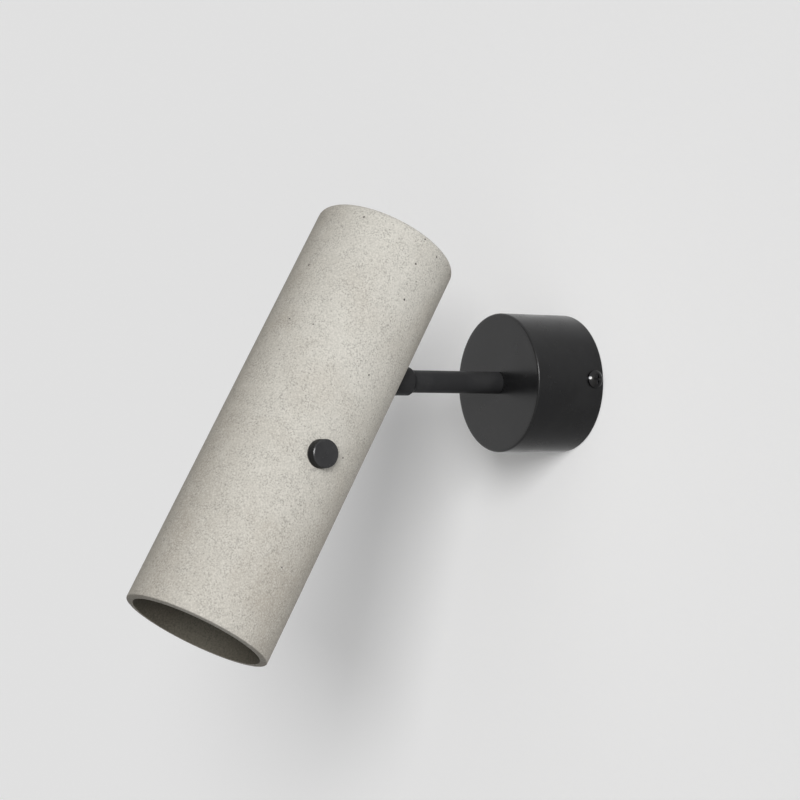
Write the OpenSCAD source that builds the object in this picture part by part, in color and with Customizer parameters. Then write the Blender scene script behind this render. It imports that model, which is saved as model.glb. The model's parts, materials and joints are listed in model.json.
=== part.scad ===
// Wall spotlight: a concrete tube shade that tilts on a short arm, which turns in a round canopy.
// The origin is on the wall, at the canopy's centre. +Z is up, -Y points out into the room.

/* [Canopy] */
// Outer diameter of the canopy
canopy_d = 63; // [62:0.5:90]
// Depth of the canopy, from the wall to its front face
canopy_depth = 36; // [35:0.5:60]
// Side wall of the canopy
canopy_wall = 1.2; // [0.8:0.1:1.6]
// Front face of the canopy
canopy_face = 1.5; // [1:0.1:2]
// Radius of the canopy's front edge
canopy_edge_r = 0.5; // [0.2:0.1:1]
// Distance of the two side screws from the wall
side_screw_depth = 5; // [4.5:0.5:9]
// Thread diameter of the side screws
side_screw_d = 4; // [3:0.5:4]
// Head diameter of the side screws
side_screw_head_d = 8; // [6:0.5:9]
// Head height of the side screws
side_screw_head_h = 2.6; // [2:0.1:3.5]

/* [Backplate] */
// Sheet thickness of the backplate
plate_t = 1.5; // [1.2:0.1:2]
// Gap between the backplate's edge and the canopy
plate_gap = 0.7; // [0.3:0.1:1.5]
// Width of the two bent ears
ear_w = 14; // [10:1:16]
// Distance between the centres of the two wall slots
slot_spacing = 36; // [34:1:38]
// Length of a wall slot, end to end
slot_l = 9; // [7:0.5:10]
// Width of a wall slot
slot_w = 5; // [4:0.5:5.5]
// Hole of the rubber grommet for the mains cable
cable_d = 7; // [5:0.5:8]
// Distance of the mains cable hole below the centre
cable_drop = 16; // [15:0.5:18]

/* [Terminal block] */
// Width of the terminal block
block_w = 24; // [21:0.5:26]
// Height of the terminal block along the wall
block_h = 12; // [11:0.5:13]
// Depth of the terminal block
block_depth = 12; // [10:0.5:14]
// Distance of the block's lower face above the centre
block_rise = 13; // [12.5:0.5:14]
// Distance between two poles
pole_pitch = 8; // [7:0.5:8.5]

/* [Arm] */
// Outer diameter of the arm
arm_d = 10; // [9:0.5:12]
// Bore of the arm for the lead
arm_bore = 5.2; // [4.8:0.2:5.6]
// Distance from the canopy's face to the tilt pivot
arm_reach = 68; // [60:0.5:140]
// Diameter of the threaded stud inside the canopy
stud_d = 8; // [7.6:0.1:8.4]
// Length of the stud behind the canopy's front face
stud_l = 19; // [18:0.5:20]
// Diameter of the lead
lead_d = 4.4; // [3.6:0.2:4.4]
// Bend radius of the lead in the head
lead_bend_r = 7.5; // [7:0.25:8]

/* [Arm bush] */
// Flange diameter of the bush
bush_flange_d = 26; // [22:1:30]
// Flange thickness of the bush
bush_flange_t = 2.2; // [1.5:0.1:2.6]
// Sleeve diameter of the bush
bush_d = 19; // [18:0.5:20]
// Length of the bush, flange included
bush_l = 7.5; // [6.5:0.5:8]
// Diameter of the stop peg
peg_d = 2.4; // [2:0.1:2.6]
// Thickness of the stop washer
stop_washer_t = 1.1; // [0.8:0.1:1.3]
// Thickness of the spring washer
spring_washer_t = 0.8; // [0.6:0.1:1]
// Thickness of the hexagon nut
nut_t = 3.5; // [3:0.25:4]
// Hexagon nut across flats
nut_af = 13; // [12:0.5:14]

/* [Cord grip] */
// Outer diameter of the cord grip
grip_d = 13; // [12:0.5:15]
// Length of the cord grip
grip_l = 8.4; // [8:0.2:9]

/* [Swivel knuckle] */
// Diameter of the collar at the head end of the arm
collar_d = 12.6; // [12:0.1:14]
// Distance from the tilt pivot to the collar's end on the arm
collar_l = 21.2; // [18:0.2:26]
// Length of the collar's bevel
collar_bevel_l = 1.9; // [1:0.1:3]
// Height of the bevel, measured on the radius
collar_bevel_h = 1.1; // [0.5:0.1:1.1]
// Depth that the arm goes into the collar
arm_seat = 9; // [6:0.5:9]
// Height of the two fork ears
fork_h = 11; // [10:0.5:11.5]
// Gap between the fork ears
fork_gap = 8.4; // [8.4:0.1:8.6]
// Distance from the pivot to the bottom of the fork's gap
fork_floor = 5.3; // [5.3:0.1:5.6]
// Diameter of the two pivot screws
pivot_screw_d = 3; // [2.5:0.1:3]
// Thickness of the nylon friction washers
friction_washer_t = 0.5; // [0.3:0.1:0.5]
// Diameter of the nylon friction washers
friction_washer_d = 8; // [7:0.5:9]

/* [Shade] */
// Outer diameter of the shade
shade_d = 64; // [63:0.5:80]
// Length of the shade
shade_l = 192; // [186:1:260]
// Wall of the shade
shade_wall = 3.2; // [2.5:0.1:3.6]
// Thickness of the closed top
shade_top_t = 4; // [3:0.5:8]
// Radius of the top edge
top_edge_r = 3; // [1:0.5:6]
// Radius of the mouth's outer edge
mouth_edge_r = 0.8; // [0.3:0.1:1.4]
// Tilt of the shade away from the wall, from straight down
head_tilt = 30.5; // [-30:0.5:45]
// Largest tilt away from the wall
tilt_max = 45; // [31:1:48]
// Largest tilt towards the wall
tilt_min = -30; // [-35:1:0]
// Distance from the closed top to the tilt pivot
pivot_from_top = 57.5; // [50:0.5:70]
// Depth of the tilt pivot below the shade's surface
pivot_depth = 10; // [9.5:0.1:11]

/* [Side knobs] */
// Distance from the closed top to the knobs' axis
knob_from_top = 108.5; // [104:0.5:112]
// Diameter of a knob
knob_d = 12; // [10:0.5:14]
// Height of a knob
knob_h = 4.6; // [3:0.1:7]
// Bevel on the knob's rim
knob_bevel = 0.5; // [0.2:0.1:1]
// Thread diameter of a knob's stem
knob_stem_d = 5; // [4:0.5:6]
// Depth of the flat under a knob
knob_flat_depth = 0.6; // [0.5:0.1:0.8]
// Thickness of the fibre washer under a knob
knob_washer_t = 0.5; // [0.3:0.1:0.6]

/* [Lamp carrier] */
// Sheet thickness of the carrier and the yoke
sheet_t = 1.2; // [1:0.1:1.2]
// Drop from the tilt pivot to the carrier's top face
carrier_drop = 17; // [16.5:0.5:19]
// Gap between the carrier's rim and the shade
carrier_gap = 1.3; // [0.8:0.1:2]
// Width of the carrier's two side straps
strap_w = 14; // [12:1:16]
// Thickness of the nuts for the side knobs
knob_nut_t = 3.5; // [3:0.5:4]
// Knob nut across flats
knob_nut_af = 8; // [8:0.5:9]
// Width of the yoke's foot
foot_w = 26; // [24:1:28]
// Depth of the yoke's foot
foot_depth = 12; // [10:0.5:12]
// Diameter of the small machine screws
small_screw_d = 3; // [2.5:0.1:3]

/* [Lamp] */
// Diameter of the ceramic lampholder
holder_d = 27; // [26:0.5:30]
// Height of the ceramic lampholder
holder_h = 20; // [18:0.5:22]
// Distance between the lamp's two pins
pin_pitch = 10; // [10:0.5:10]
// Largest diameter of the lamp
lamp_d = 50; // [46:1:51]
// Length of the lamp without its pins
lamp_l = 51; // [48:0.5:56]
// Diameter of the lamp's neck
lamp_neck_d = 26; // [24:0.5:28]

/* [Hidden] */
$fn = 96;

// Clearances
run_gap = 0.05;      // radial gap of a shaft that turns
thread_gap = 0.02;   // radial gap of a fixed thread
face_gap = 0.1;      // gap between faces that slide past each other
seat_gap = 0.3;      // gap between pieces that only lie beside each other
cut = 1;             // how far a cut runs past a face
screw_end = 1.5;     // how far a screw's end stands past its last thread
lead_gap = 1.4;      // gap between the lead and the backplate

// Canopy and backplate
canopy_r = canopy_d / 2;
canopy_in_r = canopy_r - canopy_wall;
plate_r = canopy_in_r - plate_gap;
ear_x = sqrt(pow(plate_r, 2) - pow(ear_w / 2, 2));
grommet_wall = 1.5;
grommet_flange = 1.5;
earth_x = 12;
earth_z = -cable_drop;
earth_screw_d = 4;
earth_head_d = 7;
earth_head_h = 2.4;
earth_washer_d = 8;
earth_washer_t = 0.8;

// Small machine screws of the terminal block, the yoke and the lampholder
small_r = small_screw_d / 2;
small_head_d = 5.6;
small_head_h = 2;
small_slot_w = 0.6;
small_slot_depth = 0.8;

// Domed cross-head screws, as shares of the head's height and diameter
pan_rim = 0.35;
pan_slot = 0.14;
pan_cross = 0.56;

// Terminal block
block_z = block_rise + block_h / 2;
block_front = plate_t + block_depth;
block_screw_x = pole_pitch / 2;
block_screw_sink = 3;
clamp_screw_d = 3;
clamp_screw_sink = 1;
clamp_row = block_h / 4;
wire_hole_d = 3.6;
wire_depth = plate_t + block_depth / 3;

// Arm and its parts inside the canopy, as distances from the wall
arm_r = arm_d / 2;
stud_r = stud_d / 2;
face_in = canopy_depth - canopy_face;
bush_end = face_in - bush_l;
peg_r = peg_d / 2;
peg_edge = 0.8;
tooth_w = 3;
tooth_gap = 0.4;
peg_past = 0.2;
peg_root = 1;
peg_orbit = bush_d / 2 - peg_r - peg_edge;
peg_l = stop_washer_t + face_gap + peg_past;
stop_washer_r = peg_orbit - peg_r - tooth_gap;
stop_washer_top = bush_end - face_gap;
spring_washer_top = stop_washer_top - stop_washer_t - thread_gap;
nut_top = spring_washer_top - spring_washer_t - thread_gap;
stud_end = canopy_depth - stud_l;
grip_top = nut_top - nut_t - face_gap;
grip_end = grip_top - grip_l;
grip_screw_z = (stud_end + grip_end) / 2;
grip_screw_d = 3;
lead_r = lead_d / 2;
grip_screw_l = grip_d / 2 - lead_r + screw_end;
canopy_lead_start = grip_end - seat_gap;
canopy_bend_r = canopy_lead_start - plate_t - lead_gap - lead_r;
pivot_out = canopy_depth + arm_reach;

// Swivel knuckle
collar_r = collar_d / 2;
fork_r = fork_h / 2;
fork_web = 3.5;
tab_x = fork_gap / 2 - friction_washer_t - 2 * run_gap;
tab_r = 4.5;
tab_corner = 25;
pivot_r = pivot_screw_d / 2;
pivot_head_d = 5.5;
pivot_head_h = 1.7;
lead_stop = lead_r + 0.4;

// Shade, in a frame with its origin at the tilt pivot and the mouth straight down
shade_r = shade_d / 2;
bore_r = shade_r - shade_wall;
axis_y = pivot_depth - shade_r;
shade_mouth = pivot_from_top - shade_l;
arm_slot_gap = 0.8;
arm_slot_w = collar_d + 1.2;
arm_slot_top = pivot_depth * tan(tilt_max) + collar_r / cos(tilt_max) + arm_slot_gap;
arm_slot_end = pivot_depth * tan(tilt_min) - collar_r / cos(tilt_min) - arm_slot_gap;

// Side knobs
knob_z = pivot_from_top - knob_from_top;
knob_r = knob_d / 2;
knob_flat_x = shade_r - knob_flat_depth;
knob_seat_x = knob_flat_x + knob_washer_t;
knob_stem_r = knob_stem_d / 2;
knob_flat_r = knob_r + 0.2;

// Lamp carrier
carrier_r = bore_r - carrier_gap;
strap_gap = 0.5;
strap_x = sqrt(pow(bore_r - strap_gap, 2) - pow(strap_w / 2, 2));
carrier_under = -carrier_drop - sheet_t;
foot_back = 1;
foot_edge = 4.5;
foot_y = -foot_back - foot_depth / 2;
foot_screw_x = foot_w / 2 - foot_edge;
knob_nut_x = strap_x - sheet_t - thread_gap - knob_nut_t;

// Lead, lampholder and lamp
lead_y = axis_y + 2;
lead_slope = 25;
lead_sides = 12;
lead_steps = 8;
lead_end_turns = [80, 55, 30];
lead_seat = 5;
holder_screw_x = 8;
holder_screw_grip = 6.5;
holder_bottom = carrier_under - seat_gap - holder_h;
lamp_top = holder_bottom - seat_gap;
lamp_front = lamp_top - lamp_l;
pin_d = 4.8;
pin_neck_d = 3;
pin_l = 6.5;
pin_head_l = 2.4;
lens_t = 1.6;
lamp_rim_t = 1.2;
lamp_rim_h = 6;
lamp_rim_step = 1.5;
lamp_neck_step = 2;
lamp_neck_start = 0.66;
lamp_neck_end = 0.74;
lamp_chamfer = 1;

BLACK = "#262626";
STEEL = "#9a9c9e";
BRASS = "#b8954a";
CONCRETE = "#c2beb4";

// A round bar along Y, between two distances from the wall
module bar(from, to, r) {
  translate([0, -from, 0])
    rotate([90, 0, 0])
      cylinder(h = to - from, r = r);
}

// A round bar along X, between two places on the X axis
module cross_bar(from, to, r) {
  translate([from, 0, 0])
    rotate([0, 90, 0])
      cylinder(h = to - from, r = r);
}

// A cross-head screw with a domed head: the head sits on z = 0 and the shank runs down from it
module pan_screw(d, l, head_d, head_h) {
  rim_h = pan_rim * head_h;
  slot_w = pan_slot * head_d;
  cross_w = pan_cross * head_d;
  dome_r = (pow(head_d / 2, 2) + pow(head_h - rim_h, 2)) / (2 * (head_h - rim_h));
  difference() {
    union() {
      intersection() {
        cylinder(h = head_h, r = head_d / 2);
        translate([0, 0, head_h - dome_r])
          sphere(r = dome_r);
      }
      translate([0, 0, -l])
        cylinder(h = l + rim_h, r = d / 2);
    }
    for (turn = [0, 90])
      rotate([0, 0, turn])
        translate([-cross_w / 2, -slot_w / 2, head_h / 2])
          cube([cross_w, slot_w, head_h]);
  }
}

// A hexagon nut along Z with a plain bore
module hex_nut(af, t, bore_r) {
  difference() {
    cylinder(h = t, r = af / 2 / cos(30), $fn = 6);
    translate([0, 0, -cut])
      cylinder(h = t + 2 * cut, r = bore_r);
  }
}

// A slot along X through a plate in the XZ plane
module slot_cut(length, width) {
  reach = (length - width) / 2;
  for (side = [-1, 1])
    translate([side * reach, 0, 0])
      bar(-cut, plate_t + cut, width / 2);
  translate([-reach, -plate_t - cut, -width / 2])
    cube([2 * reach, plate_t + 2 * cut, width]);
}

// Places its children in the head's frame, with the origin at the tilt pivot
module in_head() {
  translate([0, -pivot_out, 0])
    rotate([-head_tilt, 0, 0])
      children();
}

// Stops on a bend of the lead about a centre in the YZ plane; 0 degrees is +Y and 90 is +Z
function bend_stops(y, z, r, from, to) =
  [for (i = [0:lead_steps])
    let (turn = from + (to - from) * i / lead_steps)
    [y + r * cos(turn), z + r * sin(turn), turn + 90, 1]];

// Stops on a rounded end of the lead, at a point and with a heading
function round_end_stops(y, z, heading) =
  [for (turn = lead_end_turns)
    [y - lead_r * sin(turn) * cos(heading), z - lead_r * sin(turn) * sin(heading), heading,
     cos(turn)]];

// A tube along stops in the YZ plane; a stop is [y, z, heading, share of the lead's radius]
module lead_tube(stops) {
  last = len(stops) - 1;
  points = [for (stop = stops)
             for (i = [0:lead_sides - 1])
               let (turn = 360 * i / lead_sides, r = lead_r * stop[3], up = r * sin(turn))
               [r * cos(turn), stop[0] - up * sin(stop[2]), stop[1] + up * cos(stop[2])]];
  walls = [for (n = [0:last - 1])
            for (i = [0:lead_sides - 1])
              let (a = n * lead_sides + i, b = n * lead_sides + (i + 1) % lead_sides)
              each [[a, b, a + lead_sides], [b, b + lead_sides, a + lead_sides]]];
  start_cap = [for (i = [1:lead_sides - 2]) [0, i + 1, i]];
  end_cap = [for (i = [1:lead_sides - 2]) [0, i, i + 1] + last * lead_sides * [1, 1, 1]];
  polyhedron(points, concat(walls, start_cap, end_cap));
}

module backplate() {
  color(STEEL)
    difference() {
      union() {
        intersection() {
          bar(0, plate_t, plate_r);
          translate([-ear_x, -canopy_depth, -canopy_r])
            cube([2 * ear_x, 2 * canopy_depth, 2 * canopy_r]);
        }
        for (side = [-1, 1])
          translate([side * (ear_x - plate_t / 2), 0, 0])
            backplate_ear();
      }
      for (side = [-1, 1])
        translate([side * slot_spacing / 2, 0, 0])
          slot_cut(slot_l, slot_w);
      translate([0, 0, -cable_drop])
        bar(-cut, plate_t + cut, cable_d / 2 + grommet_wall);
      translate([earth_x, 0, earth_z])
        bar(-cut, plate_t + cut, earth_screw_d / 2 + thread_gap);
      translate([block_screw_x, 0, block_z])
        bar(-cut, plate_t + cut, small_r + thread_gap);
    }
}

module backplate_ear() {
  difference() {
    intersection() {
      union() {
        translate([-plate_t / 2, -side_screw_depth, -ear_w / 2])
          cube([plate_t, side_screw_depth, ear_w]);
        translate([0, -side_screw_depth, 0])
          cross_bar(-plate_t / 2, plate_t / 2, ear_w / 2);
      }
      translate([-plate_t, -side_screw_depth - ear_w, -ear_w])
        cube([2 * plate_t, side_screw_depth + ear_w, 2 * ear_w]);
    }
    translate([0, -side_screw_depth, 0])
      cross_bar(-plate_t, plate_t, side_screw_d / 2 + thread_gap);
  }
}

module canopy() {
  color(BLACK)
    difference() {
      rotate([90, 0, 0])
        rotate_extrude()
          union() {
            square([canopy_r, canopy_depth - canopy_edge_r]);
            square([canopy_r - canopy_edge_r, canopy_depth]);
            translate([canopy_r - canopy_edge_r, canopy_depth - canopy_edge_r])
              circle(r = canopy_edge_r);
          }
      bar(-cut, face_in, canopy_in_r);
      bar(0, canopy_depth + cut, stud_r + run_gap);
      translate([0, -side_screw_depth, 0])
        cross_bar(-canopy_r - cut, canopy_r + cut, side_screw_d / 2 + run_gap);
    }
}

module canopy_screws() {
  color("#2a2a2c")
    for (side = [0, 180])
      rotate([0, side, 0])
        translate([canopy_r + thread_gap, -side_screw_depth, 0])
          rotate([0, 90, 0])
            pan_screw(side_screw_d, canopy_r - ear_x + plate_t + screw_end, side_screw_head_d,
                      side_screw_head_h);
}

module cable_grommet() {
  hole_r = cable_d / 2 + grommet_wall;
  color("#1c1c1c")
    translate([0, 0, -cable_drop])
      difference() {
        union() {
          bar(0, plate_t + grommet_flange, hole_r - thread_gap);
          bar(plate_t, plate_t + grommet_flange, hole_r + grommet_flange);
        }
        bar(-cut, plate_t + grommet_flange + cut, cable_d / 2);
      }
}

module terminal_block() {
  color("#e8e6df")
    difference() {
      translate([-block_w / 2, -block_front, block_rise])
        cube([block_w, block_depth, block_h]);
      for (pole = [-1, 0, 1]) {
        translate([pole * pole_pitch, -wire_depth, block_rise - cut])
          cylinder(h = block_h + 2 * cut, r = wire_hole_d / 2);
        for (row = [-1, 1])
          translate([pole * pole_pitch, 0, block_z + row * clamp_row])
            bar(wire_depth, block_front + cut, clamp_screw_d / 2 + thread_gap);
      }
      translate([block_screw_x, 0, block_z]) {
        bar(0, block_front + cut, small_r + run_gap);
        bar(block_front - block_screw_sink, block_front + cut, small_head_d / 2 + run_gap);
      }
    }
}

module terminal_screws() {
  color(BRASS)
    for (pole = [-1, 0, 1])
      for (row = [-1, 1])
        translate([pole * pole_pitch, 0, block_z + row * clamp_row])
          difference() {
            bar(wire_depth + wire_hole_d / 2, block_front - clamp_screw_sink, clamp_screw_d / 2);
            translate([-clamp_screw_d, -block_front, -small_slot_w / 2])
              cube([2 * clamp_screw_d, clamp_screw_sink + small_slot_depth, small_slot_w]);
          }
}

module block_screw() {
  head_at = block_front - block_screw_sink + thread_gap;
  color(STEEL)
    translate([block_screw_x, -head_at, block_z])
      rotate([90, 0, 0])
        pan_screw(small_screw_d, head_at, small_head_d, small_head_h);
}

module earth_screw() {
  color(BRASS)
    translate([earth_x, -plate_t - earth_washer_t - 2 * thread_gap, earth_z])
      rotate([90, 0, 0])
        pan_screw(earth_screw_d, plate_t + earth_washer_t, earth_head_d, earth_head_h);
}

module earth_washer() {
  color(BRASS)
    translate([earth_x, 0, earth_z])
      difference() {
        bar(plate_t + thread_gap, plate_t + thread_gap + earth_washer_t, earth_washer_d / 2);
        bar(0, plate_t + 2 * earth_washer_t, earth_screw_d / 2 + run_gap);
      }
}

module arm_bush() {
  color(BRASS)
    difference() {
      union() {
        bar(face_in - bush_flange_t, face_in, bush_flange_d / 2);
        bar(bush_end, face_in, bush_d / 2);
        translate([0, 0, peg_orbit])
          bar(bush_end - peg_l, bush_end + peg_root, peg_r);
      }
      bar(bush_end - cut, canopy_depth, stud_r + run_gap);
    }
}

module canopy_lead() {
  color("#d9d9d6")
    lead_tube(concat(bend_stops(-canopy_lead_start, canopy_bend_r, canopy_bend_r, -90, 0),
                     [[canopy_bend_r - canopy_lead_start, block_rise - thread_gap, 90, 1]]));
}

module arm_tube() {
  seat = collar_l - arm_seat;
  color(BLACK)
    difference() {
      union() {
        bar(stud_end, canopy_depth + face_gap, stud_r);
        bar(canopy_depth + face_gap, pivot_out - seat - thread_gap, arm_r);
      }
      bar(stud_end - cut, pivot_out, arm_bore / 2);
    }
}

module stop_washer() {
  low = stop_washer_top - stop_washer_t;
  color(STEEL)
    difference() {
      union() {
        bar(low, stop_washer_top, stop_washer_r);
        intersection() {
          bar(low, stop_washer_top, bush_d / 2 - tooth_gap);
          translate([-tooth_w / 2, -stop_washer_top, -bush_d])
            cube([tooth_w, stop_washer_t, bush_d]);
        }
      }
      bar(low - cut, stop_washer_top + cut, stud_r + thread_gap);
    }
}

module spring_washer() {
  color(STEEL)
    difference() {
      bar(spring_washer_top - spring_washer_t, spring_washer_top, stop_washer_r);
      bar(0, spring_washer_top + cut, stud_r + run_gap);
    }
}

module arm_nut() {
  color(STEEL)
    translate([0, -nut_top + nut_t, 0])
      rotate([90, 0, 0])
        hex_nut(nut_af, nut_t, stud_r + thread_gap);
}

module cord_grip() {
  color("#d8d4c8")
    difference() {
      bar(grip_end, grip_top, grip_d / 2);
      bar(grip_end - cut, grip_top + cut, lead_r + run_gap);
      bar(stud_end - thread_gap, grip_top + cut, stud_r + thread_gap);
      translate([0, -grip_screw_z, 0])
        rotate([180, 0, 0])
          cylinder(h = grip_d, r = grip_screw_d / 2 + thread_gap);
    }
}

module grip_screw() {
  color("#d8d4c8")
    translate([0, -grip_screw_z, -lead_r - run_gap])
      rotate([180, 0, 0])
        difference() {
          cylinder(h = grip_screw_l, r = grip_screw_d / 2);
          translate([-grip_screw_d, -small_slot_w / 2, grip_screw_l - small_slot_depth])
            cube([2 * grip_screw_d, small_slot_w, small_slot_depth + cut]);
        }
}

module swivel_fork() {
  color(BLACK)
    translate([0, -pivot_out, 0])
      difference() {
        union() {
          bar(-collar_l + collar_bevel_l, -fork_floor, collar_r);
          translate([0, collar_l, 0])
            rotate([90, 0, 0])
              cylinder(h = collar_bevel_l, r1 = collar_r - collar_bevel_h, r2 = collar_r);
          translate([-collar_r, 0, -fork_r])
            cube([collar_d, fork_floor + fork_web, fork_h]);
          cross_bar(-collar_r, collar_r, fork_r);
        }
        translate([-fork_gap / 2, -fork_h, -fork_h])
          cube([fork_gap, fork_h + fork_floor, 2 * fork_h]);
        bar(-collar_l - cut, 0, arm_bore / 2);
        bar(-collar_l - cut, -collar_l + arm_seat, arm_r + thread_gap);
        cross_bar(-collar_d, collar_d, pivot_r + run_gap);
      }
}

module arm_lead() {
  color("#d9d9d6")
    bar(grip_end, pivot_out - lead_stop, lead_r);
}

// One cheek of the yoke, from its eye at the pivot down to the foot
module yoke_cheek() {
  foot_top = -carrier_drop + sheet_t;
  difference() {
    union() {
      rotate([0, 90, 0])
        cylinder(h = sheet_t, r = tab_r);
      rotate([90, 0, 90])
        linear_extrude(height = sheet_t)
          polygon([[tab_r * cos(tab_corner), tab_r * sin(tab_corner)],
                   [foot_y + foot_depth / 2, foot_top],
                   [foot_y + foot_depth / 2, -carrier_drop],
                   [foot_y - foot_depth / 2, -carrier_drop],
                   [foot_y - foot_depth / 2, foot_top],
                   [-tab_r * cos(tab_corner), tab_r * sin(tab_corner)]]);
    }
    translate([-cut, 0, 0])
      rotate([0, 90, 0])
        cylinder(h = sheet_t + 2 * cut, r = pivot_r + thread_gap);
  }
}

module swivel_yoke() {
  color(STEEL)
    in_head()
      difference() {
        union() {
          for (side = [0, 1])
            mirror([side, 0, 0])
              translate([tab_x - sheet_t, 0, 0])
                yoke_cheek();
          translate([-foot_w / 2, foot_y - foot_depth / 2, -carrier_drop])
            cube([foot_w, foot_depth, sheet_t]);
        }
        for (side = [-1, 1])
          translate([side * foot_screw_x, foot_y, -carrier_drop - cut])
            cylinder(h = sheet_t + 2 * cut, r = small_r + run_gap);
      }
}

module yoke_screws() {
  color(STEEL)
    in_head()
      for (side = [-1, 1])
        translate([side * foot_screw_x, foot_y, -carrier_drop + sheet_t + thread_gap])
          pan_screw(small_screw_d, 2 * sheet_t + screw_end, small_head_d, small_head_h);
}

module friction_washers() {
  color("#e4e2da")
    in_head()
      for (side = [0, 1])
        mirror([side, 0, 0])
          difference() {
            cross_bar(tab_x + run_gap, tab_x + run_gap + friction_washer_t,
                      friction_washer_d / 2);
            cross_bar(0, collar_d, pivot_r + run_gap);
          }
}

module pivot_screws() {
  head_x = collar_r + face_gap;
  color(STEEL)
    in_head()
      for (side = [0, 180])
        rotate([0, 0, side])
          translate([head_x, 0, 0])
            rotate([0, 90, 0])
              pan_screw(pivot_screw_d, head_x - tab_x + sheet_t, pivot_head_d, pivot_head_h);
}

module lamp_carrier() {
  color(STEEL)
    in_head()
      difference() {
        union() {
          translate([0, axis_y, carrier_under])
            intersection() {
              cylinder(h = sheet_t, r = carrier_r);
              translate([-strap_x, -carrier_r, -cut])
                cube([2 * strap_x, 2 * carrier_r, sheet_t + 2 * cut]);
            }
          for (side = [0, 1])
            mirror([side, 0, 0])
              translate([strap_x - sheet_t, axis_y, 0])
                carrier_strap();
        }
        for (side = [-1, 1]) {
          translate([side * foot_screw_x, foot_y, carrier_under - cut])
            cylinder(h = sheet_t + 2 * cut, r = small_r + thread_gap);
          translate([side * holder_screw_x, axis_y, carrier_under - cut])
            cylinder(h = sheet_t + 2 * cut, r = small_r + run_gap);
        }
        translate([0, lead_y, carrier_under - cut])
          cylinder(h = sheet_t + 2 * cut, r = lead_r + seat_gap);
      }
}

module carrier_strap() {
  difference() {
    union() {
      translate([0, -strap_w / 2, knob_z])
        cube([sheet_t, strap_w, -carrier_drop - knob_z]);
      translate([0, 0, knob_z])
        cross_bar(0, sheet_t, strap_w / 2);
    }
    translate([0, 0, knob_z])
      cross_bar(-cut, sheet_t + cut, knob_stem_r + run_gap);
  }
}

module knob_nuts() {
  color(STEEL)
    in_head()
      for (side = [0, 1])
        mirror([side, 0, 0])
          translate([knob_nut_x, axis_y, knob_z])
            rotate([0, 90, 0])
              hex_nut(knob_nut_af, knob_nut_t, knob_stem_r + run_gap);
}

module lampholder() {
  color("#efece4")
    in_head()
      difference() {
        translate([0, axis_y, holder_bottom])
          cylinder(h = holder_h, r = holder_d / 2);
        for (side = [-1, 1]) {
          translate([side * holder_screw_x, axis_y, carrier_under - holder_screw_grip - seat_gap])
            cylinder(h = holder_screw_grip + seat_gap + cut, r = small_r + thread_gap);
          translate([side * pin_pitch / 2, axis_y, holder_bottom - cut])
            cylinder(h = pin_l + seat_gap + cut, r = pin_d / 2 + seat_gap);
        }
        translate([0, lead_y, carrier_under - lead_seat - cut])
          cylinder(h = lead_seat + 2 * cut, r = lead_r + seat_gap);
      }
}

module lampholder_screws() {
  color(STEEL)
    in_head()
      for (side = [-1, 1])
        translate([side * holder_screw_x, axis_y, -carrier_drop + thread_gap])
          pan_screw(small_screw_d, sheet_t + holder_screw_grip, small_head_d, small_head_h);
}

module head_lead() {
  bend_z = lead_y * tan(lead_slope) - lead_bend_r * tan((90 - lead_slope) / 2);
  color("#d9d9d6")
    in_head()
      lead_tube(concat(round_end_stops(0, 0, 180 + lead_slope), [[0, 0, 180 + lead_slope, 1]],
                       bend_stops(lead_y + lead_bend_r, bend_z, lead_bend_r, 90 + lead_slope, 180),
                       [[lead_y, carrier_under - lead_seat, 270, 1]]));
}

// The lamp's outline, as radius and height above its front
module lamp_outline() {
  neck_r = lamp_neck_d / 2;
  rim_r = lamp_d / 2;
  polygon([[0, lens_t],
           [rim_r - lamp_rim_t, lens_t],
           [rim_r - lamp_rim_t, 0],
           [rim_r, 0],
           [rim_r, lamp_rim_h],
           [rim_r - lamp_rim_step, lamp_rim_h + lamp_rim_step],
           [neck_r + lamp_neck_step, lamp_neck_start * lamp_l],
           [neck_r, lamp_neck_end * lamp_l],
           [neck_r, lamp_l - lamp_chamfer],
           [neck_r - lamp_chamfer, lamp_l],
           [0, lamp_l]]);
}

module lamp_body() {
  color("#e9e9e7")
    in_head()
      translate([0, axis_y, lamp_front])
        rotate_extrude()
          lamp_outline();
}

module lamp_pins() {
  color(BRASS)
    in_head()
      for (side = [-1, 1])
        translate([side * pin_pitch / 2, axis_y, lamp_top]) {
          cylinder(h = pin_l - pin_head_l, r = pin_neck_d / 2);
          translate([0, 0, pin_l - pin_head_l])
            cylinder(h = pin_head_l, r = pin_d / 2);
        }
}

module lamp_lens() {
  color("#f4f2ea")
    in_head()
      translate([0, axis_y, lamp_front])
        cylinder(h = lens_t - thread_gap, r = lamp_d / 2 - lamp_rim_t - thread_gap);
}

// The shade's outline, as radius and height above its mouth
module shade_outline() {
  union() {
    translate([0, mouth_edge_r])
      square([shade_r, shade_l - mouth_edge_r - top_edge_r]);
    square([shade_r - mouth_edge_r, shade_l - top_edge_r]);
    square([shade_r - top_edge_r, shade_l]);
    translate([shade_r - mouth_edge_r, mouth_edge_r])
      circle(r = mouth_edge_r);
    translate([shade_r - top_edge_r, shade_l - top_edge_r])
      circle(r = top_edge_r);
  }
}

module shade() {
  color(CONCRETE)
    in_head()
      difference() {
        translate([0, axis_y, shade_mouth])
          rotate_extrude()
            shade_outline();
        translate([0, axis_y, shade_mouth - cut])
          cylinder(h = shade_l - shade_top_t + cut, r = bore_r);
        arm_slot();
        for (side = [0, 1])
          mirror([side, 0, 0])
            translate([0, axis_y, knob_z]) {
              cross_bar(knob_flat_x, shade_r + cut, knob_flat_r);
              cross_bar(strap_x, shade_r + cut, knob_stem_r + seat_gap);
            }
      }
}

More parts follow.
